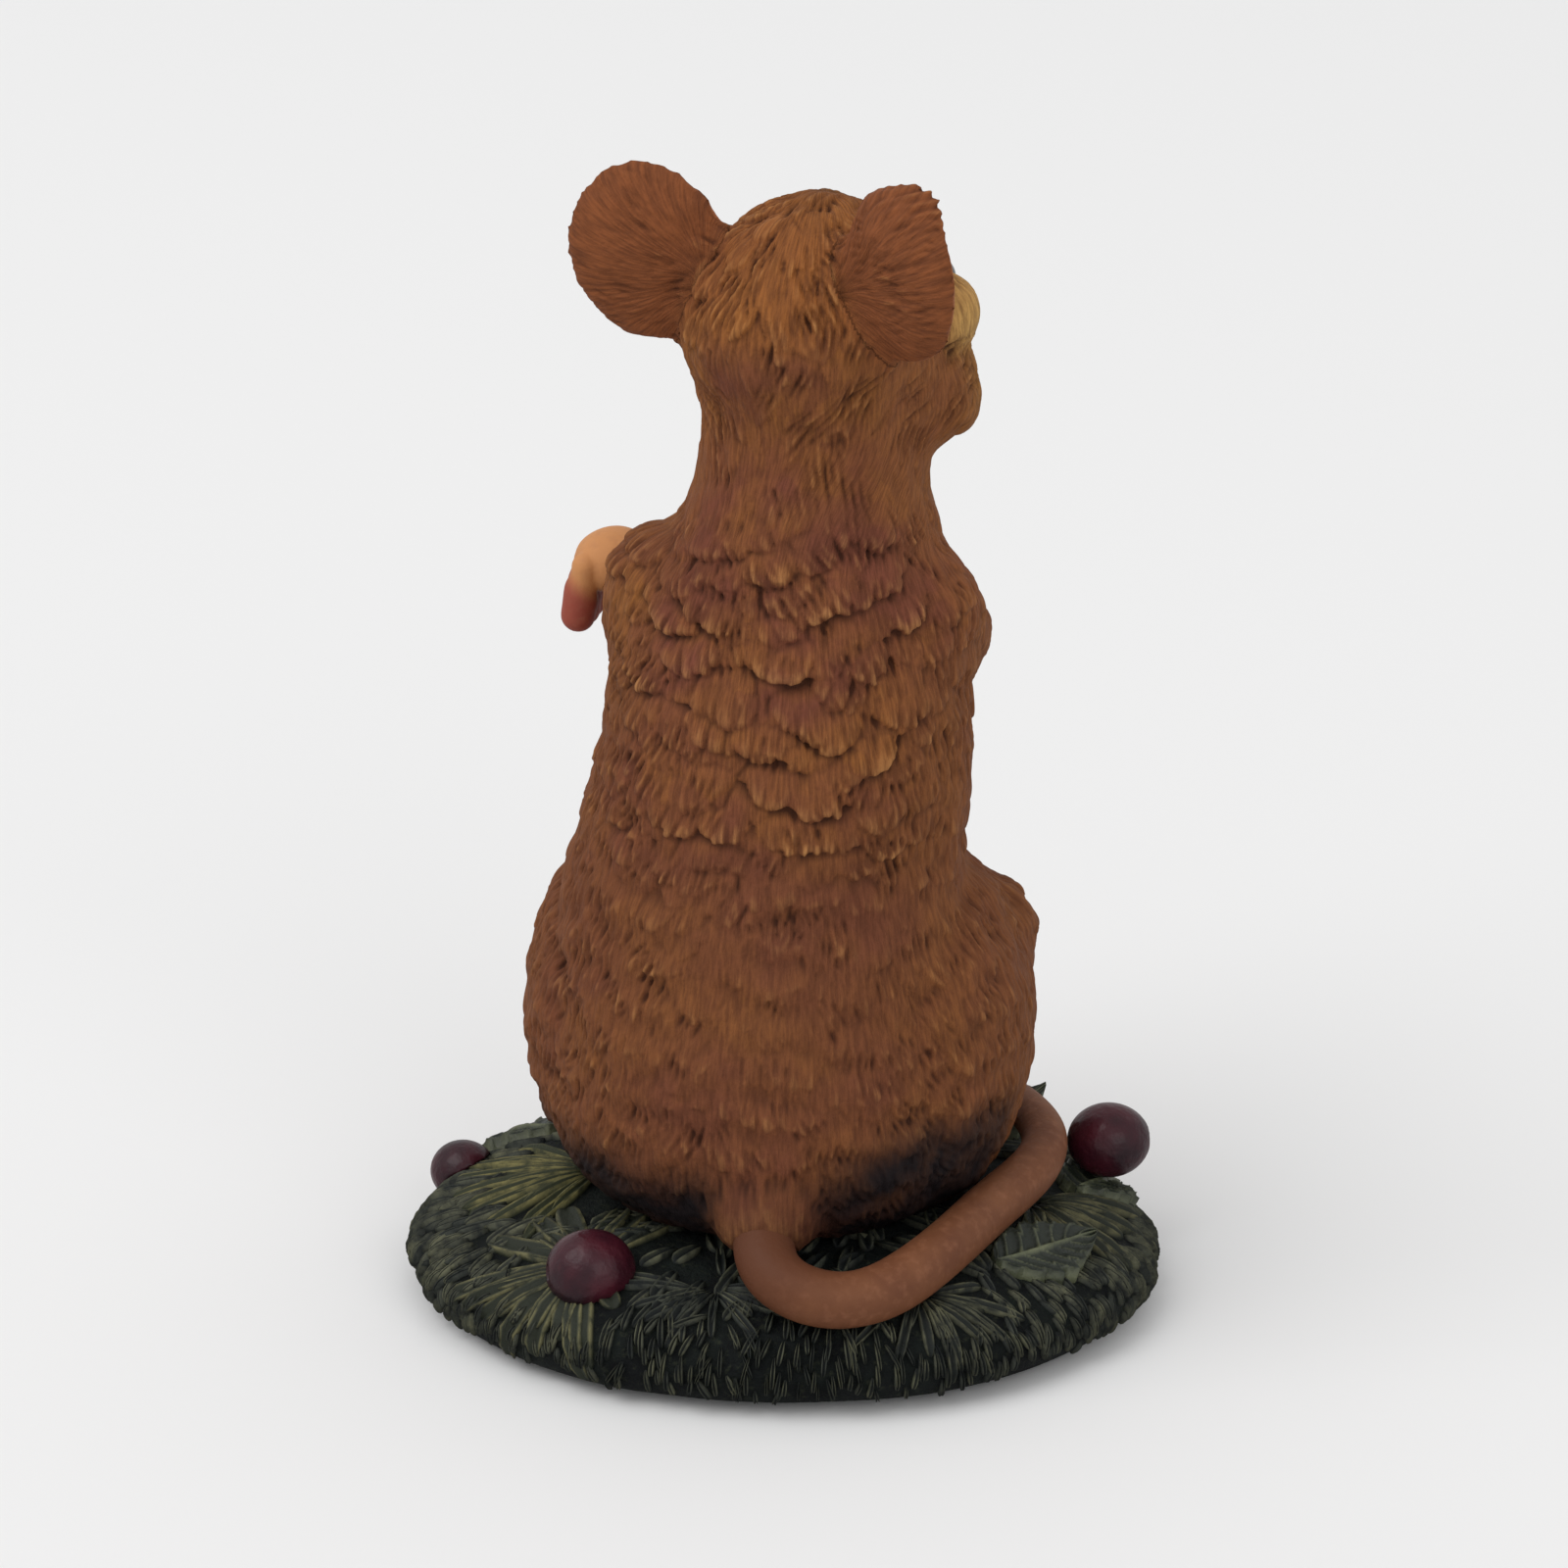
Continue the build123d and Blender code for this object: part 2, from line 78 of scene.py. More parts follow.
def mottle(tree, where, size, detail=3, rough=0.55, warp=0):
    """Noise from 0 to 1 whose patches are about that many millimetres across."""
    values = {"Vector": where, "Scale": 1 / size, "Detail": detail, "Roughness": rough}
    return add(tree, "ShaderNodeTexNoise", {**values, "Distortion": warp}).outputs[0]


def between(tree, value, low, high, start=0, end=1):
    """A value taken from one range to another, and kept in it."""
    inputs = {"Value": value, "From Min": low, "From Max": high, "To Min": start, "To Max": end}
    return add(tree, "ShaderNodeMapRange", inputs).outputs[0]


def sums(tree, operation, first, second):
    """One step of arithmetic between two numbers or sockets."""
    return add(tree, "ShaderNodeMath", {0: first, 1: second}, operation=operation).outputs[0]


def layer(tree, share, under, over):
    """Paint laid over paint by a share."""
    return add(tree, "ShaderNodeMix", {0: share, 6: under, 7: over}, data_type="RGBA").outputs[2]


def coat(tree, shader, shade, height, depth):
    """Paint on a shader, and relief of that many millimetres from a height of 0 to 1."""
    tree.links.new(shade, shader.inputs["Base Color"])
    bump = add(tree, "ShaderNodeBump", {"Height": height, "Distance": depth / 1000, "Strength": 1})
    tree.links.new(bump.outputs[0], shader.inputs["Normal"])


def dress(node, material):
    """A CAD node takes a finish of its own."""
    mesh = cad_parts[node].data
    mesh.materials.clear()
    mesh.materials.append(material)


felt, tree, shader, where = new_finish("felt_wool", Roughness=0.95, Sheen_Weight=0.35)
matting = mottle(tree, where, 0.28, 5, 0.7, 1.5)
shade = layer(tree, between(tree, matting, 0.3, 0.7), colour(22, 34, 26), colour(48, 62, 48))
coat(tree, shader, shade, matting, 0.12)
dress("felt_pad", felt)


# Wire pins: cut lengths of bright steel wire that key the body to the mound and to the head. They
# are pushed into drilled holes with a drop of glue, and nothing of them shows once it is set.
wire, tree, shader, where = new_finish("pin_wire", Metallic=1.0, Roughness=0.32)
draw_marks = add(tree, "ShaderNodeVectorMath", {0: where, 1: (6, 6, 0.4)}, operation="MULTIPLY")
scratches = mottle(tree, draw_marks.outputs[0], 1, 4)
shade = layer(tree, scratches, colour(150, 150, 152), colour(205, 204, 200))
tree.links.new(shade, shader.inputs["Base Color"])
tree.links.new(between(tree, scratches, 0, 1, 0.22, 0.45), shader.inputs["Roughness"])
dress("seat_pins", wire)
dress("neck_pin", wire)


# Mound: the cast oval base, painted a blue-green that is almost black, with lighter green rubbed
# over what stands up. Its skin follows the casting's profile, with the hand-made lumps added.
MOUND_TURN = radians(11.0)
MOUND_HALF_WIDTH, MOUND_HALF_DEPTH = 23.7, 18.4
MOUND_TOP, MOUND_BELLY, MOUND_FOOT = 7.2, 2.6, 0.4
MOUND_SEAT, MOUND_TUCK = 10.5, 1.4
FELT_HALF_WIDTH, FELT_HALF_DEPTH, FELT_RECESS_TOP = 19.85, 14.55, 1.0


def waves(points, size, seed, count=9):
    """A smooth uneven height from about -1 to 1 over points, with lumps of about that size."""
    dice = np.random.default_rng(seed)
    directions = dice.normal(size=(count, 3))
    directions /= np.linalg.norm(directions, axis=1, keepdims=True)
    directions *= 2 * pi / (size * dice.uniform(1.2, 2.6, (count, 1)))
    return np.sin(points @ directions.T + dice.uniform(0, 2 * pi, count)).sum(1) * 1.4 / count


def put_out(name, data):
    """An object for a mesh, a lamp or a camera, in the scene."""
    piece = bpy.data.objects.new(name, data)
    bpy.context.scene.collection.objects.link(piece)
    return piece


def hold(mesh, **values):
    """Named values on a mesh's points, one for each point or one for all."""
    for name, numbers in values.items():
        attribute = mesh.attributes.new(name, "FLOAT", "POINT")
        attribute.data.foreach_set("value", np.full(len(mesh.vertices), numbers, np.float32))


def grown(name, points, faces, material, **values):
    """A new piece from points in millimetres, with named values on its points."""
    mesh = bpy.data.meshes.new(name)
    mesh.from_pydata((np.asarray(points) / 1000).tolist(), [], faces)
    hold(mesh, **values)
    mesh.materials.append(material)
    mesh.shade_smooth()
    return put_out(name, mesh)


def settle(piece, slot, *nodes):
    """The piece rides with the figurine and stands for CAD nodes, which it hides; slot is not used."""
    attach(piece, "root")
    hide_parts(*nodes)


# the profile from the middle of the seat out and down to the foot, and the length run along it
quarter = np.linspace(0, pi / 2, 60)
side = MOUND_HALF_WIDTH - MOUND_SEAT
profile = np.concatenate([
    [(0, MOUND_TOP)],
    np.stack([MOUND_SEAT + side * np.sin(quarter),
              MOUND_BELLY + (MOUND_TOP - MOUND_BELLY) * np.cos(quarter)], 1),
    np.stack([MOUND_HALF_WIDTH - MOUND_TUCK + MOUND_TUCK * np.cos(quarter[1:]),
              MOUND_BELLY - (MOUND_BELLY - MOUND_FOOT) * np.sin(quarter[1:])], 1),
])
steps = np.diff(profile, axis=0)
profile_run = np.concatenate([[0], np.cumsum(np.hypot(*steps.T))])
slopes = np.gradient(profile, profile_run, axis=0)
FULL_RUN = profile_run[-1]


def on_mound(flat):
    """Lays flat points (across, forwards, height, in mm) on the mound, past its edge and down."""
    run = np.minimum(np.hypot(flat[:, 0], flat[:, 1]), FULL_RUN)
    turn = np.arctan2(flat[:, 1], flat[:, 0])
    out = np.interp(run, profile_run, profile[:, 0])
    up = np.interp(run, profile_run, profile[:, 1])
    lean = np.stack([-np.interp(run, profile_run, slopes[:, 1]),
                     np.interp(run, profile_run, slopes[:, 0])], 1)
    narrow = MOUND_HALF_DEPTH / MOUND_HALF_WIDTH
    place = np.stack([out * np.cos(turn), out * np.sin(turn) * narrow, up], 1)
    away = np.stack([lean[:, 0] * np.cos(turn), lean[:, 0] * np.sin(turn) / narrow, lean[:, 1]], 1)
    away /= np.linalg.norm(away, axis=1, keepdims=True)
    fade = np.clip((FULL_RUN - run) / 2.5, 0, 1)
    lumps = (0.42 * waves(place, 7.0, 3) + 0.24 * waves(place, 2.6, 4)) * fade - 0.34
    place += away * (flat[:, 2] * (0.45 + 0.55 * fade) + lumps)[:, None]
    place[:, 2] = np.maximum(place[:, 2], MOUND_FOOT)
    c, s = cos(MOUND_TURN), sin(MOUND_TURN)
    return np.stack([place[:, 0] * c - place[:, 1] * s, place[:, 0] * s + place[:, 1] * c, place[:, 2]], 1)


greenery, tree, shader, where = new_finish("mound_paint", Roughness=0.7, Specular_IOR_Level=0.18)
ground = mottle(tree, where, 2.4, 4)
shade = layer(tree, between(tree, ground, 0.35, 0.68), colour(10, 13, 15), colour(24, 30, 27))
dusting = between(tree, mottle(tree, where, 0.55, 5, 0.65), 0.55, 0.75)
shade = layer(tree, sums(tree, "MULTIPLY", dusting, 0.55), shade, colour(66, 70, 52))
coat(tree, shader, shade, mottle(tree, where, 0.6, 5, 0.7), 0.45)

around, rings = 240, 96
turns = np.arange(around) * 2 * pi / around
flat_rings = []
for run in np.linspace(0.25, FULL_RUN, rings):
    flat_rings.append(np.stack([run * np.cos(turns), run * np.sin(turns), 0 * turns], 1))
skin_points = on_mound(np.concatenate(flat_rings))
c, s = cos(MOUND_TURN), sin(MOUND_TURN)
for half_width, half_depth, up in (
    (FELT_HALF_WIDTH, FELT_HALF_DEPTH, MOUND_FOOT),
    (FELT_HALF_WIDTH, FELT_HALF_DEPTH, FELT_RECESS_TOP),
):
    x, y = half_width * np.cos(turns), half_depth * np.sin(turns)
    skin_points = np.concatenate([skin_points, np.stack([x * c - y * s, x * s + y * c, 0 * x + up], 1)])
skin_faces = [tuple(range(around))]
for ring in range(rings + 1):
    for step in range(around):
        a, b = ring * around + step, ring * around + (step + 1) % around
        skin_faces.append((a, a + around, b + around, b))
skin_faces.append(tuple(range((rings + 2) * around - 1, (rings + 1) * around - 1, -1)))
mound = grown("mound_skin", skin_points, skin_faces, greenery)
settle(mound, "greenery", "base_mound")


# Needles: evergreen sprigs pressed into the mound before it was cast, each needle a blunt blade
# with a sunk midline. They lie in fans round the berries, and hang in short rows round the rim.
def group_input(tree, name, kind, value=None):
    """A named input on a node group."""
    socket = tree.interface.new_socket(name=name, in_out="INPUT", socket_type=kind)
    if value is not None:
        socket.default_value = value
    return socket


def needle_tree():
    """Sets a needle on each point, by the point's heading, reach and breadth, with some scatter."""
    tree = bpy.data.node_groups.new("laid_needles", "GeometryNodeTree")
    group_input(tree, "Geometry", "NodeSocketGeometry")
    group_input(tree, "Needle", "NodeSocketObject")
    group_input(tree, "Stray degrees", "NodeSocketFloat", 8.0)
    group_input(tree, "Uneven share", "NodeSocketFloat", 0.2)
    group_input(tree, "Seed", "NodeSocketInt", 1)
    group_input(tree, "Finish", "NodeSocketMaterial")
    tree.interface.new_socket(name="Geometry", in_out="OUTPUT", socket_type="NodeSocketGeometry")
    given = add(tree, "NodeGroupInput").outputs

    def dice(low, high, extra):
        seed = sums(tree, "ADD", given["Seed"], extra)
        node = add(tree, "FunctionNodeRandomValue", {"Seed": seed}, data_type="FLOAT")
        for socket, value in (("Min", low), ("Max", high)):
            named = [s for s in node.inputs if s.name == socket and s.enabled][0]
            if isinstance(value, bpy.types.NodeSocket):
                tree.links.new(value, named)
            else:
                named.default_value = value
        return [s for s in node.outputs if s.enabled][0]

    def on_root(name):
        return add(tree, "GeometryNodeInputNamedAttribute", {"Name": name}, data_type="FLOAT").outputs[0]

    points = add(tree, "GeometryNodeMeshToPoints", {"Mesh": given["Geometry"]}).outputs[0]
    stray = sums(tree, "MULTIPLY", given["Stray degrees"], pi / 180)
    heading = sums(tree, "ADD", on_root("heading"), sums(tree, "MULTIPLY", dice(-1.0, 1.0, 1), stray))
    turn = add(tree, "ShaderNodeCombineXYZ", {"Z": heading}).outputs[0]
    low = sums(tree, "SUBTRACT", 1.0, given["Uneven share"])
    size = add(tree, "ShaderNodeCombineXYZ", {
        "X": sums(tree, "MULTIPLY", on_root("reach"), dice(low, 1.0, 2)),
        "Y": sums(tree, "MULTIPLY", on_root("breadth"), dice(low, 1.0, 3)),
        "Z": dice(0.75, 1.15, 4),
    }).outputs[0]
    needle = add(tree, "GeometryNodeObjectInfo", {"Object": given["Needle"]}).outputs["Geometry"]
    laid = add(tree, "GeometryNodeInstanceOnPoints", {
        "Points": points, "Instance": needle, "Rotation": turn, "Scale": size,
    }).outputs[0]
    store = add(tree, "GeometryNodeStoreNamedAttribute", {"Geometry": laid, "Name": "tone"},
                data_type="FLOAT", domain="INSTANCE")
    value = [s for s in store.inputs if s.name == "Value" and s.enabled][0]
    tree.links.new(dice(0.0, 1.0, 5), value)
    real = add(tree, "GeometryNodeRealizeInstances", {"Geometry": store.outputs[0]}).outputs[0]
    done = add(tree, "GeometryNodeSetMaterial", {"Geometry": real, "Material": given["Finish"]})
    tree.links.new(done.outputs[0], add(tree, "NodeGroupOutput").inputs[0])
    return tree


def plain_mesh(piece):
    """What a piece's modifiers make of it, as a mesh of its own."""
    bpy.context.view_layer.update()
    seen = piece.evaluated_get(bpy.context.evaluated_depsgraph_get())
    return bpy.data.meshes.new_from_object(seen)


def spots(mesh):
    """A mesh's points as rows of millimetres."""
    values = np.zeros(len(mesh.vertices) * 3, np.float32)
    mesh.vertices.foreach_get("co", values)
    return values.reshape(-1, 3).astype(float) * 1000


def move_to(mesh, points):
    """Sets a mesh's points from rows of millimetres."""
    mesh.vertices.foreach_set("co", (points / 1000).astype(np.float32).ravel())
    mesh.update()


# one needle, a metre long and wide so that its reach and breadth scale it: seven hoops of eight
# points, sunk along the middle between two raised edges that catch the light paint
needle_points, needle_faces, ridge = [], [], []
hoop = ((-0.5, -0.45, 0), (-0.40, 0.50, 1), (-0.24, 0.42, 0.35), (0, 0.14, 0.05),
        (0.24, 0.42, 0.35), (0.40, 0.50, 1), (0.5, -0.45, 0), (0, -0.6, 0))
for along, wide, high in ((0, 0.45, 0.5), (0.18, 0.7, 0.85), (0.42, 0.95, 1), (0.66, 1.0, 1),
                          (0.84, 0.9, 0.95), (0.95, 0.62, 0.7), (1.0, 0.25, 0.3)):
    for across, up, edge in hoop:
        needle_points.append((along * 1000, across * wide * 1000, up * high * 1000))
        ridge.append(edge * high)
for ring in range(6):
    for step in range(8):
        a, b = ring * 8 + step, ring * 8 + (step + 1) % 8
        needle_faces.append((a, b, b + 8, a + 8))
needle_faces += [tuple(range(7, -1, -1)), tuple(range(48, 56))]


def held(tree, name):
    """A value held on a piece's points, for its shader."""
    return add(tree, "ShaderNodeAttribute", attribute_name=name).outputs["Fac"]


needle_paint, tree, shader, where = new_finish("needle_paint", Roughness=0.62, Specular_IOR_Level=0.22)
crest, tone, warmth = held(tree, "ridge"), held(tree, "tone"), held(tree, "warmth")
patches = mottle(tree, where, 1.1, 4)
under = layer(tree, tone, colour(14, 19, 21), colour(31, 35, 34))
under = layer(tree, warmth, under, colour(50, 54, 38))
rubbed = layer(tree, tone, colour(66, 70, 63), colour(112, 112, 88))
rubbed = layer(tree, warmth, rubbed, colour(136, 128, 80))
low = between(tree, warmth, 0, 0.5, 0.15, 0.5)
brushed = sums(tree, "MULTIPLY", between(tree, crest, low, 1.0), between(tree, patches, 0.35, 0.62, 0.1, 1))
shade = layer(tree, brushed, under, rubbed)
coat(tree, shader, shade, mottle(tree, where, 0.3, 4, 0.65), 0.08)

needle_form = grown("needle_form", needle_points, needle_faces, needle_paint, ridge=ridge)
laid_needles = needle_tree()


def lay_needles(name, roots, stray, uneven, seed, warmth=0.0):
    """A piece of many needles from rows of root across, root forwards, heading, reach, breadth."""
    roots = np.asarray(roots, float)
    ground_points = np.stack([roots[:, 0], roots[:, 1], 0 * roots[:, 0]], 1) * 1000
    columns = {"heading": roots[:, 2], "reach": roots[:, 3], "breadth": roots[:, 4]}
    holder = grown(name + "_roots", ground_points, [], needle_paint, **columns)
    modifier = holder.modifiers.new("lay", "NODES")
    modifier.node_group = laid_needles
    given = {"Needle": needle_form, "Stray degrees": float(stray), "Uneven share": float(uneven),
             "Seed": seed, "Finish": needle_paint}
    for item in laid_needles.interface.items_tree:
        if item.in_out == "INPUT" and item.name in given:
            modifier[item.identifier] = given[item.name]
    mesh = plain_mesh(holder)
    bpy.data.objects.remove(holder)
    move_to(mesh, on_mound(spots(mesh) / 1000))
    hold(mesh, warmth=warmth)
    mesh.name = name
    mesh.shade_smooth()
    return put_out(name, mesh)


def run_at(x, y):
    """The flat place on the mound's developed plan of a place in its own plan."""
    y = y * MOUND_HALF_WIDTH / MOUND_HALF_DEPTH
    out = np.hypot(x, y)
    run = np.interp(out, profile[:60, 0], profile_run[:60])
    return x * run / out, y * run / out


# each fan: CAD node, hub across and forwards as shares of the mound's halves, middle heading and
# spread in degrees, needles in each of its layers, reach, breadth, how yellow its paint is, and how
# far its needles stray in degrees
FANS = (
    ("spray_left_rear", -0.50, -0.58, 160, 226, (13, 9), 10.0, 2.2, 0.5, 12),
    ("spray_left_side", -0.50, 0.06, 190, 116, (13, 11), 10.5, 1.25, 1.0, 10),
    ("spray_left_front", -0.16, 0.72, 92, 150, (11, 7), 7.0, 1.0, 0.2, 12),
    ("spray_right_rear", 0.369, -0.697, 289, 130, (12, 8), 6.4, 0.8, 0.1, 26),
    ("spray_right_side", 0.66, -0.06, 326, 120, (9, 6), 8.2, 1.9, 0.4, 10),
    ("spray_front", 0.44, 0.64, 38, 150, (11, 8), 7.0, 1.0, 0.2, 12),
    ("spray_rear", -0.165, -0.684, 257, 130, (11, 7), 5.6, 0.8, 0.0, 30),
)
for index, row in enumerate(FANS):
    node, x_share, y_share, middle, spread, layers, reach, breadth, warm, stray = row
    hub_x, hub_y = run_at(x_share * MOUND_HALF_WIDTH, y_share * MOUND_HALF_DEPTH)
    roots = []
    for level, count in enumerate(layers):
        for step in range(count):
            heading = radians(middle + spread * ((step + 0.5 * level) / (count - 1) - 0.5))
            gap = 1.2 - 0.5 * level
            length = reach * (1.0 - 0.35 * level)
            roots.append((hub_x + gap * cos(heading), hub_y + gap * sin(heading), heading, length, breadth))
    fan = lay_needles("needles_" + node[6:], roots, stray, 0.35, 20 + index, warm)
    settle(fan, "greenery", node)

# the others lie in rings, more of them towards the rim, and none on the hub of a fan. Each ring: run
# from the middle, needles, reach, breadth, and how far they stray in radians
dice = np.random.default_rng(11)
roots = []
hubs = np.array([run_at(row[1] * MOUND_HALF_WIDTH, row[2] * MOUND_HALF_DEPTH) for row in FANS[:5]])
hub_clear = np.array((5.2, 6.0, 3.8, 3.8, 6.4))
for run, count, reach, breadth, stray in (
    (9.5, 46, 4.2, 1.2, 0.45), (12.4, 56, 4.2, 1.1, 0.45), (15.5, 70, 3.8, 1.0, 0.4),
    (18.2, 100, 3.4, 0.7, 0.35), (20.4, 150, 3.0, 0.48, 0.28), (21.8, 170, 2.6, 0.40, 0.24),
    (23.2, 180, 2.4, 0.36, 0.2), (24.6, 180, 2.1, 0.36, 0.2), (25.6, 160, 1.8, 0.36, 0.2),
):
    for step in range(count):
        turn = 2 * pi * (step + dice.uniform(-0.5, 0.5)) / count
        start = run + dice.uniform(-1.0, 0.7)
        heading = turn + dice.normal(0, stray)
        root = np.array((start * cos(turn), start * sin(turn)))
        if run > 22 or (np.linalg.norm(hubs - root, axis=1) > hub_clear).all():
            roots.append((*root, heading, reach, breadth))
rim = lay_needles("needles_rim", roots, 6, 0.4, 40)
settle(rim, "greenery", "base_mound")
bpy.data.objects.remove(needle_form)


# Leaves: toothed leaves tucked among the needles, cast with them, with a raised midrib and side
# veins. They are painted the same dark green, and lighter on the veins and teeth.
leaf_paint, tree, shader, where = new_finish("leaf_paint", Roughness=0.5, Specular_IOR_Level=0.4)
vein = held(tree, "vein")
patches = mottle(tree, where, 1.4, 4)
under = layer(tree, patches, colour(18, 25, 22), colour(40, 46, 34))
brushed = sums(tree, "MULTIPLY", between(tree, vein, 0.3, 0.9), between(tree, patches, 0.3, 0.6, 0.3, 1))
shade = layer(tree, brushed, under, colour(104, 108, 82))
coat(tree, shader, shade, mottle(tree, where, 0.35, 4, 0.6), 0.08)

# each leaf: CAD node, middle across and forwards as shares of the mound's halves, heading in degrees,
# length, width, and how far its tip curls up
LEAVES = (
    ("leaf_right_rear", 0.69, -0.40, 40, 7.8, 4.8, 0.9),
    ("leaf_right_side", 0.847, 0.211, 64, 7.6, 4.6, 0),
    ("leaf_left_front", -0.400, 0.740, 118, 8.0, 5.2, 0),
    ("leaf_left_side", -0.745, 0.545, 140, 7.6, 4.8, 0),
    ("spray_front", 0.585, 0.50, 42, 5.0, 3.0, 3.0),
)
columns, rows, teeth = 61, 25, 7
for node, x_share, y_share, heading, length, width, curl in LEAVES:
    middle_x, middle_y = run_at(x_share * MOUND_HALF_WIDTH, y_share * MOUND_HALF_DEPTH)
    flat, veins = [], []
    for column in range(columns):
        along = column / (columns - 1)
        tooth = (0.26 + 0.08 * sin(11 * along + heading)) * ((along * teeth) % 1) * sin(pi * along)
        half = width / 2 * (sin(pi * along ** 0.85) ** 0.8 if 0 < along < 1 else 0) * (1 + tooth) + 0.05
        for row in range(rows):
            across = 2 * row / (rows - 1) - 1
            rib = np.exp(-(across / 0.10) ** 2)
            side_vein = 0.5 + 0.5 * cos(2 * pi * (along * teeth - 1.4 * abs(across) + 0.2 * sin(9 * along)))
            vein_height = max(rib, 0.8 * side_vein ** 6 * (1 - 0.25 * abs(across)))
            cup = 0.35 * across ** 2 + 0.25 * sin(pi * along)
            rise = (0.45 + cup + 0.34 * vein_height) if abs(across) < 0.999 else -0.1
            flat.append((length * (along - 0.5), half * across, rise + curl * along ** 2))
            veins.append(max(vein_height, abs(across) ** 8))
    top = len(flat)
    flat += [(x, y, up - 0.5 if curl > 1 else -0.5) for x, y, up in flat]
    veins += [0] * top
    faces = []
    for column in range(columns - 1):
        for row in range(rows - 1):
            a = column * rows + row
            faces.append((a, a + rows, a + rows + 1, a + 1))
            faces.append((top + a, top + a + 1, top + a + rows + 1, top + a + rows))
        for a, flip in ((column * rows, False), (column * rows + rows - 1, True)):
            wall = (a, top + a, top + a + rows, a + rows)
            faces.append(wall[::-1] if flip else wall)
    for start, flip in ((0, True), (top - rows, False)):
        for row in range(rows - 1):
            a = start + row
            wall = (a, top + a, top + a + 1, a + 1)
            faces.append(wall[::-1] if flip else wall)
    flat = np.array(flat)
    c, s = cos(radians(heading)), sin(radians(heading))
    laid = np.stack([middle_x + flat[:, 0] * c - flat[:, 1] * s,
                     middle_y + flat[:, 0] * s + flat[:, 1] * c, flat[:, 2]], 1)
    name = node.replace("leaf", "leaf_blade").replace("spray", "leaf_bud")
    leaf = grown(name, on_mound(laid), faces, leaf_paint, vein=veins)
    settle(leaf, "leaf_green", node)


# Berries: five plump berries bedded among the needles, each cast with a dimple where its flower
# was. They are painted plum over crimson and lacquered, so they shine where the rest is dull.
def cast_skin(name, nodes, voxel, rounds):
    """One closed skin over copies of CAD solids: joined, remade in even faces and smoothed."""
    shape = bmesh.new()
    for node in nodes:
        shape.from_mesh(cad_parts[node].data)
    bmesh.ops.remove_doubles(shape, verts=shape.verts, dist=1e-6)
    mesh = bpy.data.meshes.new(name)
    shape.to_mesh(mesh)
    shape.free()
    piece = put_out(name, mesh)
    remesh = piece.modifiers.new("even", "REMESH")
    remesh.mode = "VOXEL"
    remesh.voxel_size = voxel / 1000
    smooth = piece.modifiers.new("soften", "SMOOTH")
    smooth.factor, smooth.iterations = 0.5, rounds
    made = plain_mesh(piece)
    bpy.data.objects.remove(piece)
    shape = bmesh.new()
    shape.from_mesh(made)
    left, best = set(shape.verts), []
    while left:
        island, edge = [], [left.pop()]
        while edge:
            vertex = edge.pop()
            island.append(vertex)
            for link in vertex.link_edges:
                other = link.other_vert(vertex)
                if other in left:
                    left.remove(other)
                    edge.append(other)
        if len(island) > len(best):
            best = island
    keep = set(best)
    bmesh.ops.delete(shape, geom=[v for v in shape.verts if v not in keep], context="VERTS")
    shape.to_mesh(made)
    shape.free()
    made.name = name
    made.shade_smooth()
    return made


def outward(mesh):
    """A mesh's point normals as rows."""
    values = np.zeros(len(mesh.vertices) * 3, np.float32)
    mesh.vertex_normals.foreach_get("vector", values)
    return values.reshape(-1, 3).astype(float)


def placed(name, mesh, material):
    """An object for a finished mesh."""
    mesh.materials.clear()
    mesh.materials.append(material)
    return put_out(name, mesh)


berry_paint, tree, shader, where = new_finish(
    "berry_lacquer", Roughness=0.4, Coat_Weight=0.18, Coat_Roughness=0.12, Specular_IOR_Level=0.2)
bloom = mottle(tree, where, 3.4, 2)
shade = layer(tree, between(tree, bloom, 0.35, 0.65), colour(31, 14, 22), colour(70, 23, 34))
streaks = mottle(tree, where, 0.8, 4, 0.6)
shade = layer(tree, between(tree, streaks, 0.6, 0.78, 0, 0.3), shade, colour(88, 46, 52))
coat(tree, shader, shade, mottle(tree, where, 0.9, 3), 0.16)
for index, spot in enumerate(("left_rear", "left_side", "right_side", "left_front", "centre_front")):
    mesh = cast_skin("berry_ball_" + spot, ["berry_" + spot], 0.16, 4)
    points = spots(mesh)
    points += outward(mesh) * (0.07 * waves(points, 2.4, 60 + index))[:, None]
    move_to(mesh, points)
    settle(placed("berry_ball_" + spot, mesh, berry_paint), "berry_gloss", "berry_" + spot)


# Fur: body, arms, head and the backs of the ears are one modelled surface, combed and cut into
# overlapping tufts before it was moulded. It is stained brown, darker in the cuts from a dark wash and
# painted shade, with dry paint rubbed on the tips that is also painted highlight. The skin is remade
# from the castings' solids and carved tuft by tuft.
HEAD_SPOT = np.array((1.41, 2.33, 63.4))
HEAD_TURN = np.array(
    Matrix.Rotation(radians(-14), 3, "Z") @ Matrix.Rotation(radians(6), 3, "X")
    @ Matrix.Rotation(radians(-4), 3, "Y"))
SKULL = np.array((7.6, 8.2, 8.2))
EYE, BROW = np.array((4.71, 6.56, 0.98)), np.array((6.3, 4.3, -0.2))
EAR_JOINT, EAR_ROOT = np.array((5.6, -2.6, 4.9)), np.array((4.26, -2.13, 4.59))
EAR_MIDDLE, EAR_HALVES = np.array((8.36, -3.69, 5.66)), np.array((5.1, 2.6, 6.1))
ELBOWS = {-1: np.array((-9.7, 5.0, 42.6)), 1: np.array((8.75, 5.02, 43.33))}
WRISTS = {-1: np.array((-11.2, 7.35, 44.6)), 1: np.array((8.4, 8.1, 44.2))}
TAIL_START, TAIL_BEND = np.array((1.16, -8.30, 11.23)), np.array((1.51, -12.11, 9.79))
TAIL_TOP = np.array((1.5, -12.8, 11.0))
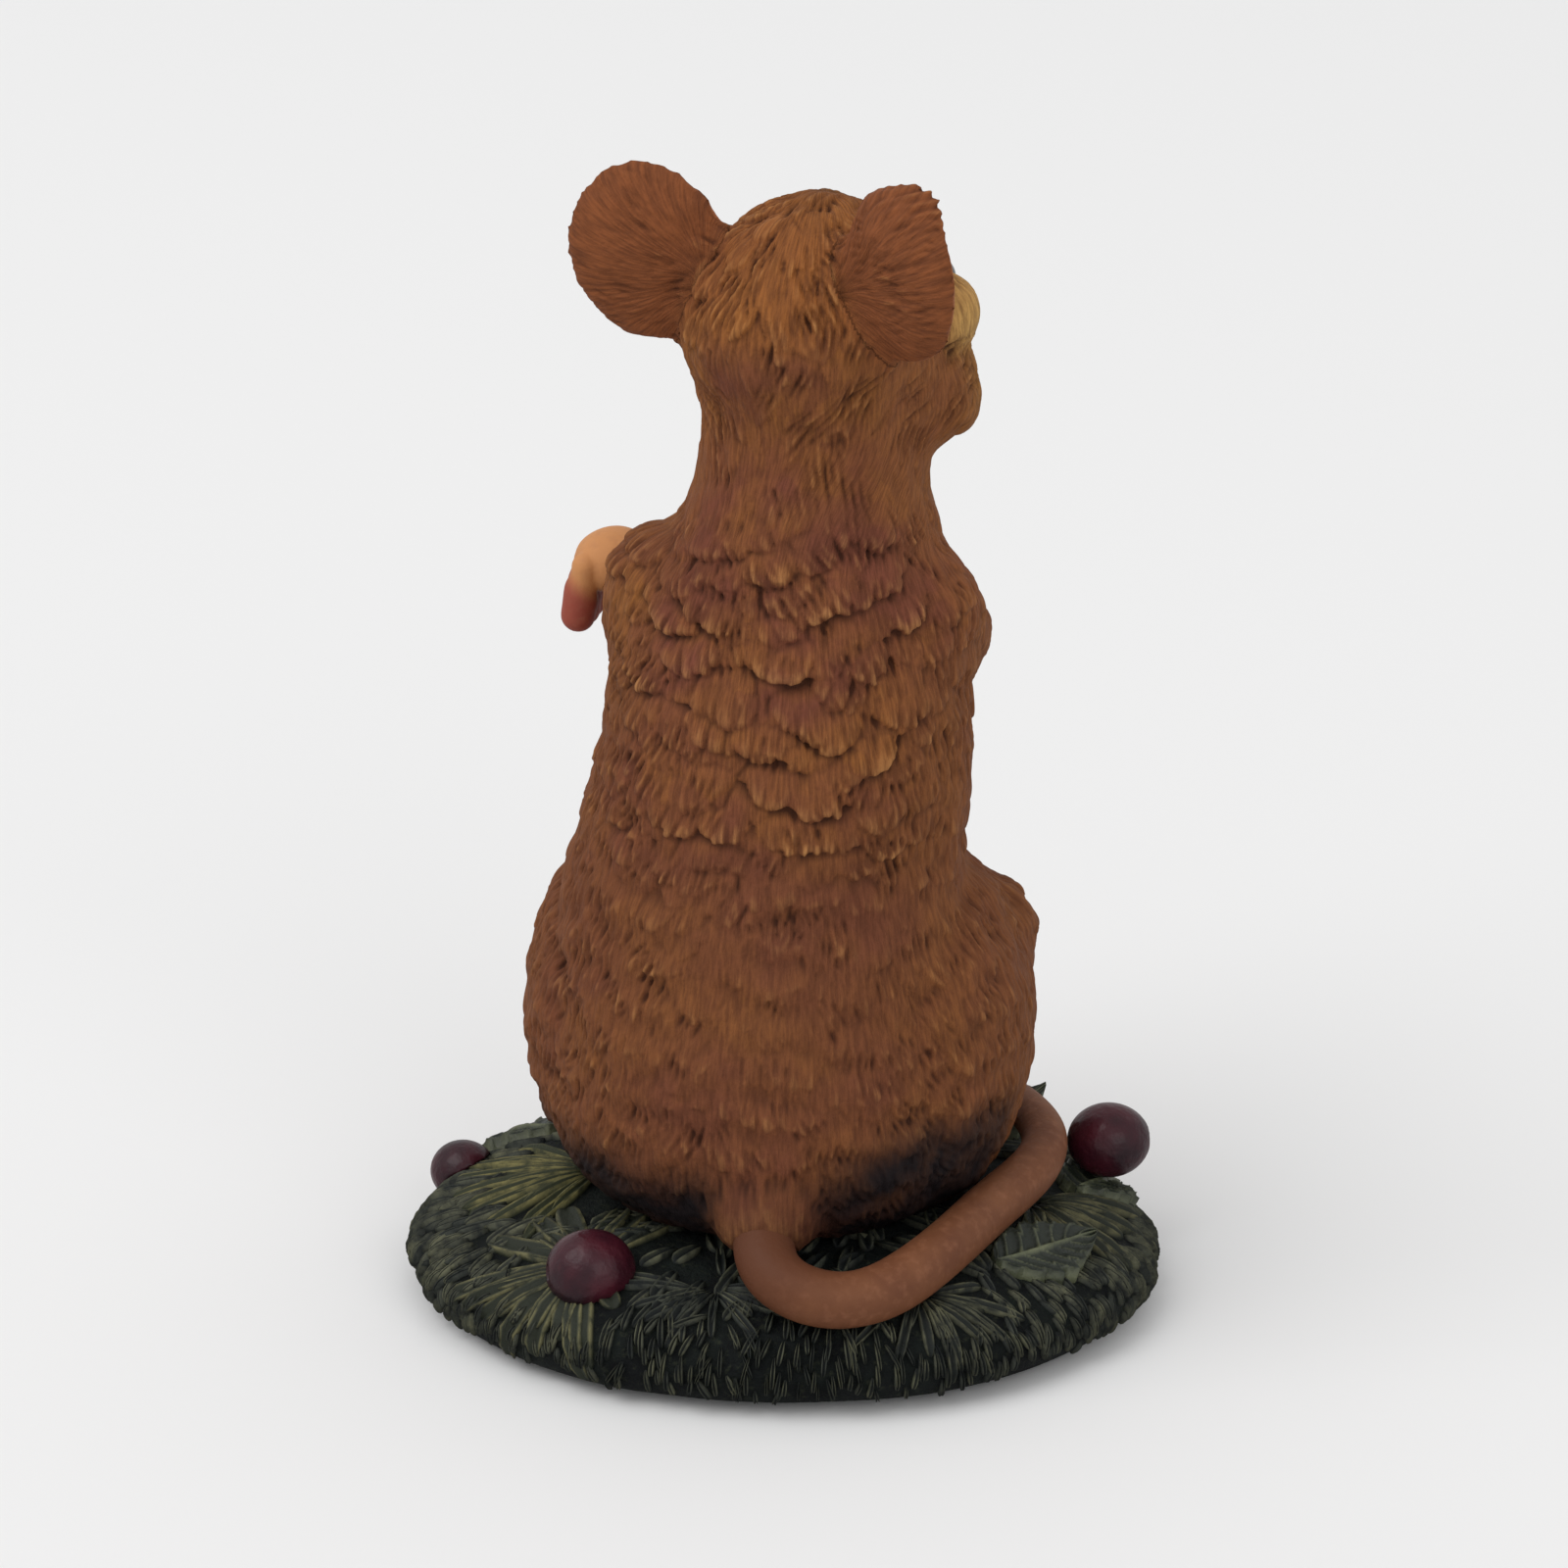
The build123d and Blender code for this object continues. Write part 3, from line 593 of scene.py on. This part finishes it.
MIRRORED = {-1: np.array((-1, 1, 1)), 1: np.array((1, 1, 1))}


def in_skull(points):
    """Where points lie from the middle of the skull: to the mouse's right, forwards and up."""
    return (points - HEAD_SPOT) @ HEAD_TURN


def ease(value, low, high):
    """A smooth step from 0 at low to 1 at high."""
    share = np.clip((value - low) / (high - low), 0, 1)
    return share * share * (3 - 2 * share)


def net_of(mesh):
    """A mesh's edges as pairs of points, and how many meet at each point."""
    pairs = np.zeros(len(mesh.edges) * 2, np.int32)
    mesh.edges.foreach_get("vertices", pairs)
    return pairs.reshape(-1, 2), np.bincount(pairs, minlength=len(mesh.vertices))


def spread(values, rounds, net, share=1.0):
    """Values moved half way to their neighbours' mean a number of times, by a share at each point."""
    (start, end), links = net[0].T, net[1]
    for _ in range(rounds):
        total = np.bincount(start, values[end], len(links)) + np.bincount(end, values[start], len(links))
        values = values + 0.5 * share * (total / links - values)
    return values


# the joints at the nape, shoulders and ear roots are melted together before the carving
fur_mesh = cast_skin("fur", ["body", "head", "ear_left", "ear_right", "arm_left", "arm_right"], 0.30, 8)
points = spots(fur_mesh)
in_head = in_skull(points)
nape = ease(points[:, 2], 51, 55) * (1 - ease(in_head[:, 2], -2.5, 1.5)) * (1 - ease(in_head[:, 1], 1, 5))
shoulder = ease(np.abs(points[:, 0]), 5, 7) * ease(points[:, 2], 36, 39) * (1 - ease(points[:, 2], 50, 53))
shoulder *= 1 - ease(points[:, 1], 4.0, 6.5)
ear_root = np.zeros(len(points))
for side in (-1, 1):
    gap = np.linalg.norm(in_head - MIRRORED[side] * EAR_JOINT, axis=1)
    ear_root = np.maximum(ear_root, 0.8 * (1 - ease(gap, 2.9 + 0.3 * side, 4.8 + 0.6 * side)))
melt = np.maximum.reduce([nape, 0.9 * shoulder, ear_root])
net = net_of(fur_mesh)
points = np.stack([spread(points[:, axis], 150, net, melt) for axis in range(3)], 1)
move_to(fur_mesh, points)
whole = placed("fur_whole", fur_mesh, felt)
finer = whole.modifiers.new("finer", "SUBSURF")
finer.levels = finer.render_levels = 1
fur_mesh = plain_mesh(whole)
bpy.data.objects.remove(whole)
points, normals = spots(fur_mesh), outward(fur_mesh)
in_head = in_skull(points)
skull_reach = np.linalg.norm(in_head / SKULL, axis=1)

# the maker's thumb: the right ear is pressed square at its upper outer corner, the left ear's crest
# and the right jaw are pulled out, and the throat is pinched in at the left
seen_right, seen_up = np.array((0.974, 0.225, 0)), np.array((-0.088, 0.381, 0.920))
across, upward = points @ seen_right, (points - (0, 0, 34.5)) @ seen_up
corner = np.exp(-((across - 9.0) ** 2 + (upward - 35.0) ** 2) / 6.5) * ease(skull_reach, 1.05, 1.25)
corner *= ease(in_head[:, 0], 3, 5)
points += (1.35 * corner)[:, None] * (seen_right + 0.45 * seen_up)
crest = ease(upward, 34, 38.5) * ease(-across, 4, 7)
points += (0.55 * crest)[:, None] * seen_up
jaw = np.exp(-((across - 10.9) ** 2 + (upward - 21.9) ** 2) / 5.0) * ease(in_head[:, 0], 2, 4)
points += (0.7 * jaw)[:, None] * (0.85 * seen_right - 0.5 * seen_up)
throat = np.exp(-((across + 7.0) ** 2 / 6.0 + (upward - 24.0) ** 2 / 14.0))
throat *= 1 - ease(normals @ seen_right, -0.6, 0.1)
points -= (0.7 * throat)[:, None] * seen_right
move_to(fur_mesh, points)
normals, in_head = outward(fur_mesh), in_skull(points)
head_normals = normals @ HEAD_TURN

# where the ears are, and which faces of them are bare skin
ear_share, bare = np.zeros(len(points)), np.zeros(len(points))
ear_flow = np.zeros_like(points)
for side in (-1, 1):
    turn = np.array(
        Matrix.Rotation(radians(-25 * side), 3, "Z") @ Matrix.Rotation(radians(24 * side), 3, "Y"))
    in_ear = (in_head - MIRRORED[side] * EAR_MIDDLE) @ turn
    within = 1 - ease(np.linalg.norm(in_ear / (EAR_HALVES + 0.9), axis=1), 0.92, 1.08)
    within *= ease(skull_reach, 0.98, 1.12)
    ear_normals = head_normals @ turn
    reach = np.hypot(in_ear[:, 0] / EAR_HALVES[0], in_ear[:, 2] / EAR_HALVES[2])
    dish = within * ease(ear_normals[:, 1], 0.15, 0.5) * (1 - ease(reach, 0.90, 0.98))
    ear_share = np.maximum(ear_share, within)
    bare = np.maximum(bare, dish)
    away = in_head - MIRRORED[side] * EAR_ROOT
    ear_flow += (away @ HEAD_TURN.T) / np.linalg.norm(away, axis=1, keepdims=True) * within[:, None]

# the way the fur is combed: back and down over the head from a parting, down the body
parting = np.clip(in_head[:, 0] / 2.5, -1, 1)
crown = ease(in_head[:, 2], -1, 4)
head_flow, body_flow = np.full_like(points, (0, -0.9, -0.85)), np.full_like(points, (0, 0, -1))
head_flow[:, 0] = parting * (0.95 * crown - 0.15 * (1 - crown))
head_flow = head_flow @ HEAD_TURN.T
upper = ease(points[:, 2], 30, 38)
body_flow[:, 0] = points[:, 0] / 14 * (0.75 * (1 - upper) + 0.45 * upper)
head_part = ease(points[:, 2], 55, 60)[:, None]
flow = body_flow * (1 - head_part) + head_flow * head_part
flow = flow * (1 - ear_share[:, None]) + ear_flow
forearm = np.zeros(len(points))
for side in (-1, 1):
    along = WRISTS[side] - ELBOWS[side]
    share = np.clip((points - ELBOWS[side]) @ along / (along @ along), 0, 1)
    gap = np.linalg.norm(points - ELBOWS[side] - share[:, None] * along, axis=1)
    near = (1 - ease(gap, 2.5, 3.2)) * ease(points[:, 1], 4.6, 6.2)
    forearm = np.maximum(forearm, near)
    flow = flow * (1 - near[:, None]) + near[:, None] * along / np.linalg.norm(along)
bare = np.maximum(bare, forearm * ease(points[:, 1], 5.4, 6.6))
wander = np.stack([waves(points, 9, 70), waves(points, 9, 71), waves(points, 9, 72)], 1)
flow += 0.22 * wander
flow -= normals * (flow * normals).sum(1, keepdims=True)
flow /= np.maximum(np.linalg.norm(flow, axis=1, keepdims=True), 1e-6)

# how big, how tall and how finely cut the tufts are from place to place, in millimetres, and as
# shares how much their tone varies and how smooth they were stroked
thick = ease(points[:, 2] + 1.2 * waves(points, 6, 78), 30, 37) * (1 - ease(points[:, 2], 53.5, 56))
thick *= (1 - 0.6 * ease(normals[:, 1], -0.1, 0.6)) * (1 - 0.7 * ease(np.abs(normals[:, 0]), 0.45, 0.85))
neck = ease(points[:, 2], 53.5, 56.5) * (1 - ease(in_head[:, 2], 0.5, 4))
face = ease(in_head[:, 1], 1.5, 7.5) * ease(points[:, 2], 55, 58)
top = ease(in_head[:, 2], 0.5, 4) * (1 - face)


def by_place(rump, back, nape, crown_of_head, cheek, ear):
    """A tuft size that goes smoothly from one part of the mouse to the next."""
    value = rump * (1 - thick) + back * thick
    value = value * (1 - neck) + nape * neck
    value = value * (1 - top) + crown_of_head * top
    value = value * (1 - face) + cheek * face
    return value * (1 - ear_share) + ear * ear_share


tuft_width = by_place(2.3, 4.2, 1.6, 1.9, 1.8, 0.8)
tuft_length = by_place(3.4, 3.7, 4.8, 4.4, 2.4, 2.6)
tuft_height = by_place(0.24, 0.86, 0.20, 0.44, 0.32, 0.07)
cut_depth = by_place(0.24, 0.34, 0.24, 0.40, 0.20, 0.12)
strand_width = by_place(0.42, 0.62, 0.44, 0.56, 0.45, 0.36)
tone_share = by_place(0.55, 1.0, 0.7, 1.0, 0.8, 0.5)
softness = by_place(0.5, 0.0, 0.3, 0.0, 0.1, 0.3)
rump_share = 0.5 * (1 - thick) * (points[:, 2] < 45)

# tufts start at scattered points, no two nearer than their size allows
TUFT_TRIES, TUFT_OVERLAP, CELL = 90000, 0.43, 2.0
dice = np.random.default_rng(5)
spacing = TUFT_OVERLAP * np.sqrt(tuft_width * tuft_length)
cells, starts = {}, []
for index in dice.permutation(len(points))[:TUFT_TRIES]:
    if bare[index] > 0.6:
        continue
    x, y, z = place = points[index].tolist()
    cell = [int(value // CELL) for value in place]
    near = (other for shift in product((-1, 0, 1), repeat=3)
            for other in cells.get((cell[0] + shift[0], cell[1] + shift[1], cell[2] + shift[2]), ()))
    if all((a - x) ** 2 + (b - y) ** 2 + (c - z) ** 2 >= spacing[index] ** 2 for a, b, c in near):
        cells.setdefault(tuple(cell), []).append(place)
        starts.append(index)

near_points = kdtree.KDTree(len(points))
for index, place in enumerate(points.tolist()):
    near_points.insert(place, index)
near_points.balance()

height = np.full(len(points), -0.05)
groove, tuft_tone = np.zeros(len(points)), np.zeros(len(points))

# the fine hairs run on without a break, by their place round the body, head or ear and down it
high = ease(points[:, 2], 50, 59)
body_turn = 12 * np.arctan2(points[:, 0], 2 - points[:, 1])
head_turn = 9 * np.arctan2(points[:, 0] - 1.4, 4.5 - points[:, 1])
comb = np.stack([body_turn * (1 - high) + head_turn * high, points[:, 2], 0.5 * wander[:, 0]], 1)
for side in (-1, 1):
    away = in_head - MIRRORED[side] * EAR_ROOT
    on_ear = (ear_share > 0.5) & (in_head[:, 0] * side > 0)
    comb[on_ear, 0] = 6 * np.arctan2(away[on_ear, 2], away[on_ear, 0] * side)
    comb[on_ear, 1] = np.linalg.norm(away[on_ear], axis=1)

# each tuft is a blunt tongue of a few strands, highest near its tip, and the highest tuft shows
CUT_WIDTH = 0.13
for index in starts:
    width, length = tuft_width[index] * dice.uniform(0.8, 1.25), tuft_length[index] * dice.uniform(0.8, 1.2)
    rise = tuft_height[index] * dice.uniform(0.6, 1.3)
    centre, away = points[index], normals[index]
    stray = dice.normal(0, 0.24)
    lie = flow[index] * cos(stray) + np.cross(away, flow[index]) * sin(stray)
    cross = np.cross(away, lie)
    found = near_points.find_range(centre.tolist(), 0.56 * length + 0.25 * width)
    near = np.array([hit[1] for hit in found])
    offset = points[near] - centre
    along = offset @ lie / length + 0.5
    half = width / 2 * (0.6 + 0.4 * ease(along, 0, 0.6))
    side_share = offset @ cross / half
    count = max(2, round(width / strand_width[index] * dice.uniform(0.8, 1.3)))
    borders = np.linspace(-1, 1, count + 1) + dice.uniform(-0.4, 0.4, count + 1) / count
    bites = dice.uniform(0, 1, count + 1) ** 2
    strand = np.clip(np.searchsorted(borders, side_share) - 1, 0, count - 1)
    tip_at = 1 - 0.34 * np.abs(side_share) ** 2.4 - dice.uniform(0, 0.12, count)[strand]
    inside = (np.abs(side_share) < 1) & (along > 0) & (along < tip_at)
    inside &= (normals[near] @ away > 0.25) & (np.abs(offset @ away) < 0.6 + 0.35 * width)
    if not inside.any():
        continue
    near, along, side_share, half = near[inside], along[inside], side_share[inside], half[inside]
    share_run = along / tip_at[inside]
    gaps = np.abs(side_share[:, None] - borders) * half[:, None]
    cut = (bites * np.exp(-(gaps / CUT_WIDTH) ** 2)).max(1) * ease(share_run, 0.25, 0.75)
    pillow = 0.05 + 0.95 * np.sin(pi / 2 * np.minimum(share_run / 0.82, 1)) ** 1.5
    pillow -= 0.22 * np.maximum((share_run - 0.82) / 0.18, 0) ** 2
    shape = rise * pillow * (1 - 0.45 * np.abs(side_share) ** 3) - cut_depth[index] * cut
    shape += 0.07 * dice.uniform(-1, 1, count)[strand[inside]] * share_run
    shape = shape * (1 - bare[near])
    wins = shape > height[near]
    near = near[wins]
    height[near] = shape[wins]
    groove[near] = cut[wins] * tone_share[index]
    tuft_tone[near] = 0.5 + dice.uniform(-0.5, 0.5) * tone_share[index]

# the low tufts of the rump were stroked smooth, and then short slits were pricked all over with a
# needle tool, in groups side by side, the longest on the crown and neck
SLIT_GROUPS, SLIT_STEP = 1300, 0.5
net = net_of(fur_mesh)
height = spread(height, 3, net, softness)
height += 0.6 * rump_share * waves(points * (0.8, 0.8, 1.4), 1.6, 75, 16)
long_share = np.maximum(neck, top)
for index in dice.choice(len(points), SLIT_GROUPS, replace=False):
    stray = dice.normal(0, 0.25)
    lie = flow[index] * cos(stray) + np.cross(normals[index], flow[index]) * sin(stray)
    cross = np.cross(normals[index], lie)
    count = dice.integers(2, 8)
    for step in range(count):
        spot = points[index] + cross * ((step - count / 2) * SLIT_STEP * dice.uniform(0.85, 1.15))
        spot += lie * dice.normal(0, 0.18)
        length = dice.uniform(0.4, 1.1) * (1 + 0.7 * long_share[index])
        deep = dice.uniform(0.08, 0.3) * (1 + 0.35 * long_share[index]) * (1 - 0.55 * ear_share[index])
        near = np.array([hit[1] for hit in near_points.find_range(spot.tolist(), length)], int)
        offset = points[near] - spot
        along = offset @ lie
        aside = np.linalg.norm(offset - along[:, None] * lie, axis=1)
        prick = np.exp(-(aside / CUT_WIDTH) ** 2) * np.clip(1 - (along / length) ** 2, 0, 1)
        prick = prick * (1 - bare[near])
        height[near] -= deep * prick
        groove[near] = np.maximum(groove[near], prick * 0.8 * min(1, deep / 0.3))

# bare skin and the rims of the eyes stay smooth
eye_gap = np.min([np.linalg.norm(in_head - way * EYE, axis=1) for way in MIRRORED.values()], axis=0)
height *= ease(eye_gap, 1.9, 3.0)
height *= 1 - bare

# a smooth pale brow swells over each eye
brow, pale_brow = np.zeros(len(points)), np.zeros(len(points))
for side in (-1, 1):
    gap = np.linalg.norm(in_head - MIRRORED[side] * BROW, axis=1)
    brow = np.maximum(brow, 1 - ease(gap, 1.2, 3.1))
    pale_brow = np.maximum(pale_brow, 1 - ease(gap + 0.5 * waves(points, 1.5, 79), 1.0, 3.6))
height = height * (1 - 0.85 * brow) + 1.15 * brow

# fine ridges run across the squared corner of the right ear
RIDGE_STEP = 0.62
ridge_run = upward - 0.12 * across + 0.15 * wander[:, 0]
height += 0.12 * np.minimum(corner * 2.4, 1) * np.sin(2 * pi * ridge_run / RIDGE_STEP)

# a collar of fur takes the root of the tail, and laps over it
along = TAIL_BEND - TAIL_START
share = np.clip((points - TAIL_START) @ along / (along @ along), 0, 1)
tail_gap = np.linalg.norm(points - TAIL_START - share[:, None] * along, axis=1)
collar = 1 - ease(tail_gap, 1.9, 4.2)
height = height * (1 - 0.5 * collar) + 1.1 * collar
tail_gap = np.linalg.norm(points - TAIL_TOP, axis=1)
height += 1 - ease(tail_gap, 1.0, 4.2)

# soften the cuts a little, and find which points lie low or high among their neighbours
height = spread(height, 1, net)
lowness = spread(height, 40, net) - height
carved = points + normals * (height - 0.22 * (1 - bare))[:, None]
carved += flow * (0.35 * np.maximum(height, 0) * (1 - ear_share))[:, None]
carved += normals * (0.20 * waves(points, 6, 80) * (1 - ear_share) * (1 - bare))[:, None]
move_to(fur_mesh, carved)

# painted shadow in the gap between rump and mound, deepest inside the tail's bend
low_edge = points[:, 2] + 0.9 * waves(points, 5, 85) - 2.2 * ease(points[:, 0], 3, 11)
soot = (1 - ease(low_edge, 11.0, 15.5)) * ease(-points[:, 1], -2, 3)
soot *= 0.3 + 0.7 * ease(np.abs(points[:, 0] - 1.5), 2.0, 4.5)
ear_back = spread(ear_share, 60, net) * (1 - bare)
# the sides that face left and right are painted lighter by how they face, a painted highlight
hold(fur_mesh, lowness=lowness, groove=groove, tuft_tone=tuft_tone, bare=bare, ear_back=ear_back,
     face_share=face, brow=pale_brow, soot=soot, top_share=0.7 * top, rump_share=rump_share,
     flank=0.45 * ease(np.abs(normals[:, 0]), 0.55, 0.95))
attribute = fur_mesh.attributes.new("comb", "FLOAT_VECTOR", "POINT")
attribute.data.foreach_set("vector", comb.astype(np.float32).ravel())

fur_paint, tree, shader, where = new_finish("fur_paint", Roughness=0.75, Specular_IOR_Level=0.15)
hairs = add(tree, "ShaderNodeAttribute", attribute_name="comb").outputs["Vector"]
hairs = add(tree, "ShaderNodeVectorMath", {0: hairs, 1: (5.5, 0.7, 3.0)}, operation="MULTIPLY").outputs[0]
hair = mottle(tree, hairs, 1, 3, 0.6)
wide_patches = mottle(tree, where, 9, 3)
small_patches = mottle(tree, where, 3.0, 3)
stain = layer(tree, between(tree, wide_patches, 0.4, 0.6), colour(148, 94, 47), colour(122, 69, 51))
stain = layer(tree, between(tree, small_patches, 0.45, 0.7, 0, 0.6), stain, colour(152, 96, 48))
stain = layer(tree, between(tree, held(tree, "tuft_tone"), 0, 1, 0, 0.55), stain, colour(110, 62, 44))
# painted highlight on the sides that face left and right
stain = layer(tree, held(tree, "flank"), stain, colour(158, 102, 56))
# painted highlight: the crown of the head is painted a lighter ochre
stain = layer(tree, held(tree, "top_share"), stain, colour(156, 96, 46))
stain = layer(tree, held(tree, "rump_share"), stain, colour(112, 67, 41))
stain = layer(tree, held(tree, "ear_back"), stain, colour(138, 80, 46))
stain = layer(tree, held(tree, "face_share"), stain, colour(172, 124, 66))
stain = layer(tree, sums(tree, "MULTIPLY", held(tree, "brow"), 0.9), stain, colour(222, 178, 106))
# a dark wash and painted shade in the cuts and wherever a point lies low among its neighbours
dark = sums(tree, "MAXIMUM", between(tree, held(tree, "lowness"), 0.01, 0.2),
            sums(tree, "MULTIPLY", held(tree, "groove"), 0.75))
stain = layer(tree, sums(tree, "MULTIPLY", dark, 0.85), stain, colour(50, 26, 17))
stain = layer(tree, between(tree, hair, 0.35, 0.62, 0.55, 0), stain, colour(80, 44, 28))
# dry paint and painted highlight on the tips, wherever a point stands high among its neighbours
light = sums(tree, "MULTIPLY", between(tree, held(tree, "lowness"), -0.05, -0.35),
             between(tree, hair, 0.4, 0.65, 0.3, 1))
stain = layer(tree, sums(tree, "MULTIPLY", light, 0.85), stain, colour(206, 150, 92))
# painted shadow: near black on the fur by the mound, broken up a little by the patches
soot = sums(tree, "MULTIPLY", held(tree, "soot"), between(tree, small_patches, 0.2, 0.6, 0.7, 1))
stain = layer(tree, soot, stain, colour(26, 20, 22))
flesh = layer(tree, small_patches, colour(160, 98, 70), colour(178, 116, 84))
shade = layer(tree, held(tree, "bare"), stain, flesh)
grain = sums(tree, "MULTIPLY", mottle(tree, where, 0.25, 3), 0.4)
coat(tree, shader, shade, sums(tree, "ADD", hair, grain), 0.13)


def cut_off(mesh, level, above):
    """The part of a closed mesh on one side of a level, closed again with a flat face."""
    shape = bmesh.new()
    shape.from_mesh(mesh)
    every = shape.verts[:] + shape.edges[:] + shape.faces[:]
    cut = bmesh.ops.bisect_plane(shape, geom=every, plane_co=(0, 0, level / 1000), plane_no=(0, 0, 1),
                                 clear_inner=above, clear_outer=not above)
    rim_edges = [item for item in cut["geom_cut"] if isinstance(item, bmesh.types.BMEdge)]
    caps = bmesh.ops.edgeloop_fill(shape, edges=rim_edges)["faces"]
    for face in caps:
        face.smooth = False
        facing = -1 if above else 1
        if face.normal.z * facing < 0:
            face.normal_flip()
        for edge in face.edges:
            edge.smooth = False
    part = bpy.data.meshes.new("part")
    shape.to_mesh(part)
    shape.free()
    return part


# the casting's neck joint, and two more levels, divide the fur into pieces
rest = fur_mesh
for name, level, nodes in (
    ("fur_head", 54.0, ("head", "ear_left", "ear_right")),
    ("fur_back", 33.0, ("body", "arm_left", "arm_right")),
    ("fur_waist", 20.0, ("body",)),
    ("fur_rump", None, ("body",)),
):
    if level is None:
        part = rest
    else:
        part, rest = cut_off(rest, level, True), cut_off(rest, level, False)
    settle(placed(name, part, fur_paint), "fur", *nodes)


# Paws and feet: small naked paws with curled fingers, and flat hind feet with round toes, cast
# smooth and painted a fleshy pink that is redder on the fingers, with painted shade on the paws' lower side.
flesh_paint, tree, shader, where = new_finish("flesh_paint", Roughness=0.6, Specular_IOR_Level=0.22)
blush = mottle(tree, where, 3.0, 3)
shade = layer(tree, between(tree, blush, 0.3, 0.7), colour(104, 62, 40), colour(122, 77, 50))
shade = layer(tree, held(tree, "paleness"), shade, colour(212, 148, 94))
# redder paint on the fingers and toes, and painted shade on the paws' lower, outer side
shade = layer(tree, held(tree, "redness"), shade, colour(152, 74, 58))
dabs = between(tree, mottle(tree, where, 0.7, 4), 0.5, 0.75, 0, 0.25)
shade = layer(tree, dabs, shade, colour(168, 114, 84))
shade = layer(tree, held(tree, "rooted"), shade, colour(92, 53, 33))
coat(tree, shader, shade, mottle(tree, where, 0.6, 4, 0.6), 0.06)
for name in ("paw_left", "paw_right", "foot_left", "foot_right"):
    mesh = cast_skin(name + "_skin", [name], 0.13, 5)
    points_here = spots(mesh)
    middle = points_here.mean(0)
    if name.startswith("paw"):
        outer = -1 if name.endswith("left") else 1
        low = middle[2] - points_here[:, 2] + 0.8 * outer * (points_here[:, 0] - middle[0])
        # the fingers are plumper and redder on their lower, outer side, where the red is also painted shade
        redness = ease(low, 0.2, 1.8)
        points_here += outward(mesh) * (0.32 * ease(low, 0.6, 2.0))[:, None]
    else:
        redness = ease(points_here[:, 1] - middle[1], 2.5, 5.0) * 0.6
    points_here += outward(mesh) * (0.07 * waves(points_here, 1.8, 90))[:, None]
    move_to(mesh, points_here)
    hold(mesh, redness=redness, paleness=0.85)
    settle(placed(name + "_skin", mesh, flesh_paint), "skin", name)


# Tail: a thick bare tail laid round the haunch, cast apart and glued on. It is painted a browner
# flesh than the paws, darkest at its root, with soft flat places where the tool smoothed it.
mesh = cast_skin("tail_skin", ["tail"], 0.22, 10)
points_here = spots(mesh)
points_here += outward(mesh) * (0.09 * waves(points_here, 4.5, 95))[:, None]
move_to(mesh, points_here)
gap = np.linalg.norm(points_here - TAIL_BEND, axis=1)
hold(mesh, redness=0, paleness=0, rooted=1 - ease(gap, 3.2, 9.0))
settle(placed("tail_skin", mesh, flesh_paint), "skin", "tail")


# Eyes and nose: two black glass-like beads pressed into the sockets and held with a drop of glue,
# and a small nose, cast apart and painted a dull pink.
eye_gloss, tree, shader, where = new_finish("eye_bead", Roughness=0.08, Coat_Weight=0.6, Coat_Roughness=0.03)
shade = layer(tree, mottle(tree, where, 0.8, 2), colour(8, 6, 6), colour(24, 16, 14))
coat(tree, shader, shade, mottle(tree, where, 1.2, 2), 0.01)
dress("eye_left", eye_gloss)
dress("eye_right", eye_gloss)
nose_paint, tree, shader, where = new_finish("nose_paint", Roughness=0.35, Coat_Weight=0.25)
shade = layer(tree, mottle(tree, where, 0.6, 3), colour(120, 56, 56), colour(160, 86, 82))
coat(tree, shader, shade, mottle(tree, where, 0.25, 3), 0.05)
dress("nose", nose_paint)


# Table and light: the figurine stands on plain pale paper under large soft lamps, and the camera
# looks at its back from a little above.
floor_mesh = bpy.data.meshes.new("paper")
floor_mesh.from_pydata([(-3, -3, 0), (3, -3, 0), (3, 3, 0), (-3, 3, 0)], [], [(0, 1, 2, 3)])
paper = put_out("paper", floor_mesh)
paper_finish, tree, shader, where = new_finish("paper_white", Roughness=0.9, Specular_IOR_Level=0.1)
seen = add(tree, "ShaderNodeLightPath").outputs["Is Camera Ray"]
shade = layer(tree, seen, colour(205, 205, 205), colour(237, 237, 237))
tree.links.new(shade, shader.inputs["Base Color"])
floor_mesh.materials.append(paper_finish)

world = bpy.data.worlds.new("studio")
bpy.context.scene.world = world
world.use_nodes = True
world.node_tree.nodes["Background"].inputs["Color"].default_value = (1, 1, 1, 1)
world.node_tree.nodes["Background"].inputs["Strength"].default_value = 0.72


def soft_lamp(name, spot, size, power):
    """A square lamp that faces the figurine's middle."""
    lamp = bpy.data.lights.new(name, "AREA")
    lamp.shape = "SQUARE"
    lamp.size = size
    lamp.energy = power
    holder = put_out(name, lamp)
    holder.location = spot
    holder.rotation_euler = (Vector((0, 0, 0.035)) - Vector(spot)).to_track_quat("-Z", "Y").to_euler()


soft_lamp("key", (-0.80, -0.60, 1.45), 1.3, 12.0)
soft_lamp("fill", (1.0, -1.1, 0.8), 1.0, 3.6)

camera = bpy.data.cameras.new("camera")
camera.sensor_width, camera.lens = 36, 138.95
camera.clip_start, camera.clip_end = 0.01, 20
viewer = put_out("camera", camera)
aim = Vector((0, 0, 0.0345))
azimuth, elevation, distance = radians(13), radians(23), 0.373
back = Vector((sin(azimuth) * cos(elevation), -cos(azimuth) * cos(elevation), sin(elevation)))
viewer.location = aim + back * distance
viewer.rotation_euler = (-back).to_track_quat("-Z", "Y").to_euler()
bpy.context.scene.camera = viewer
bpy.context.scene.view_settings.view_transform = "Standard"
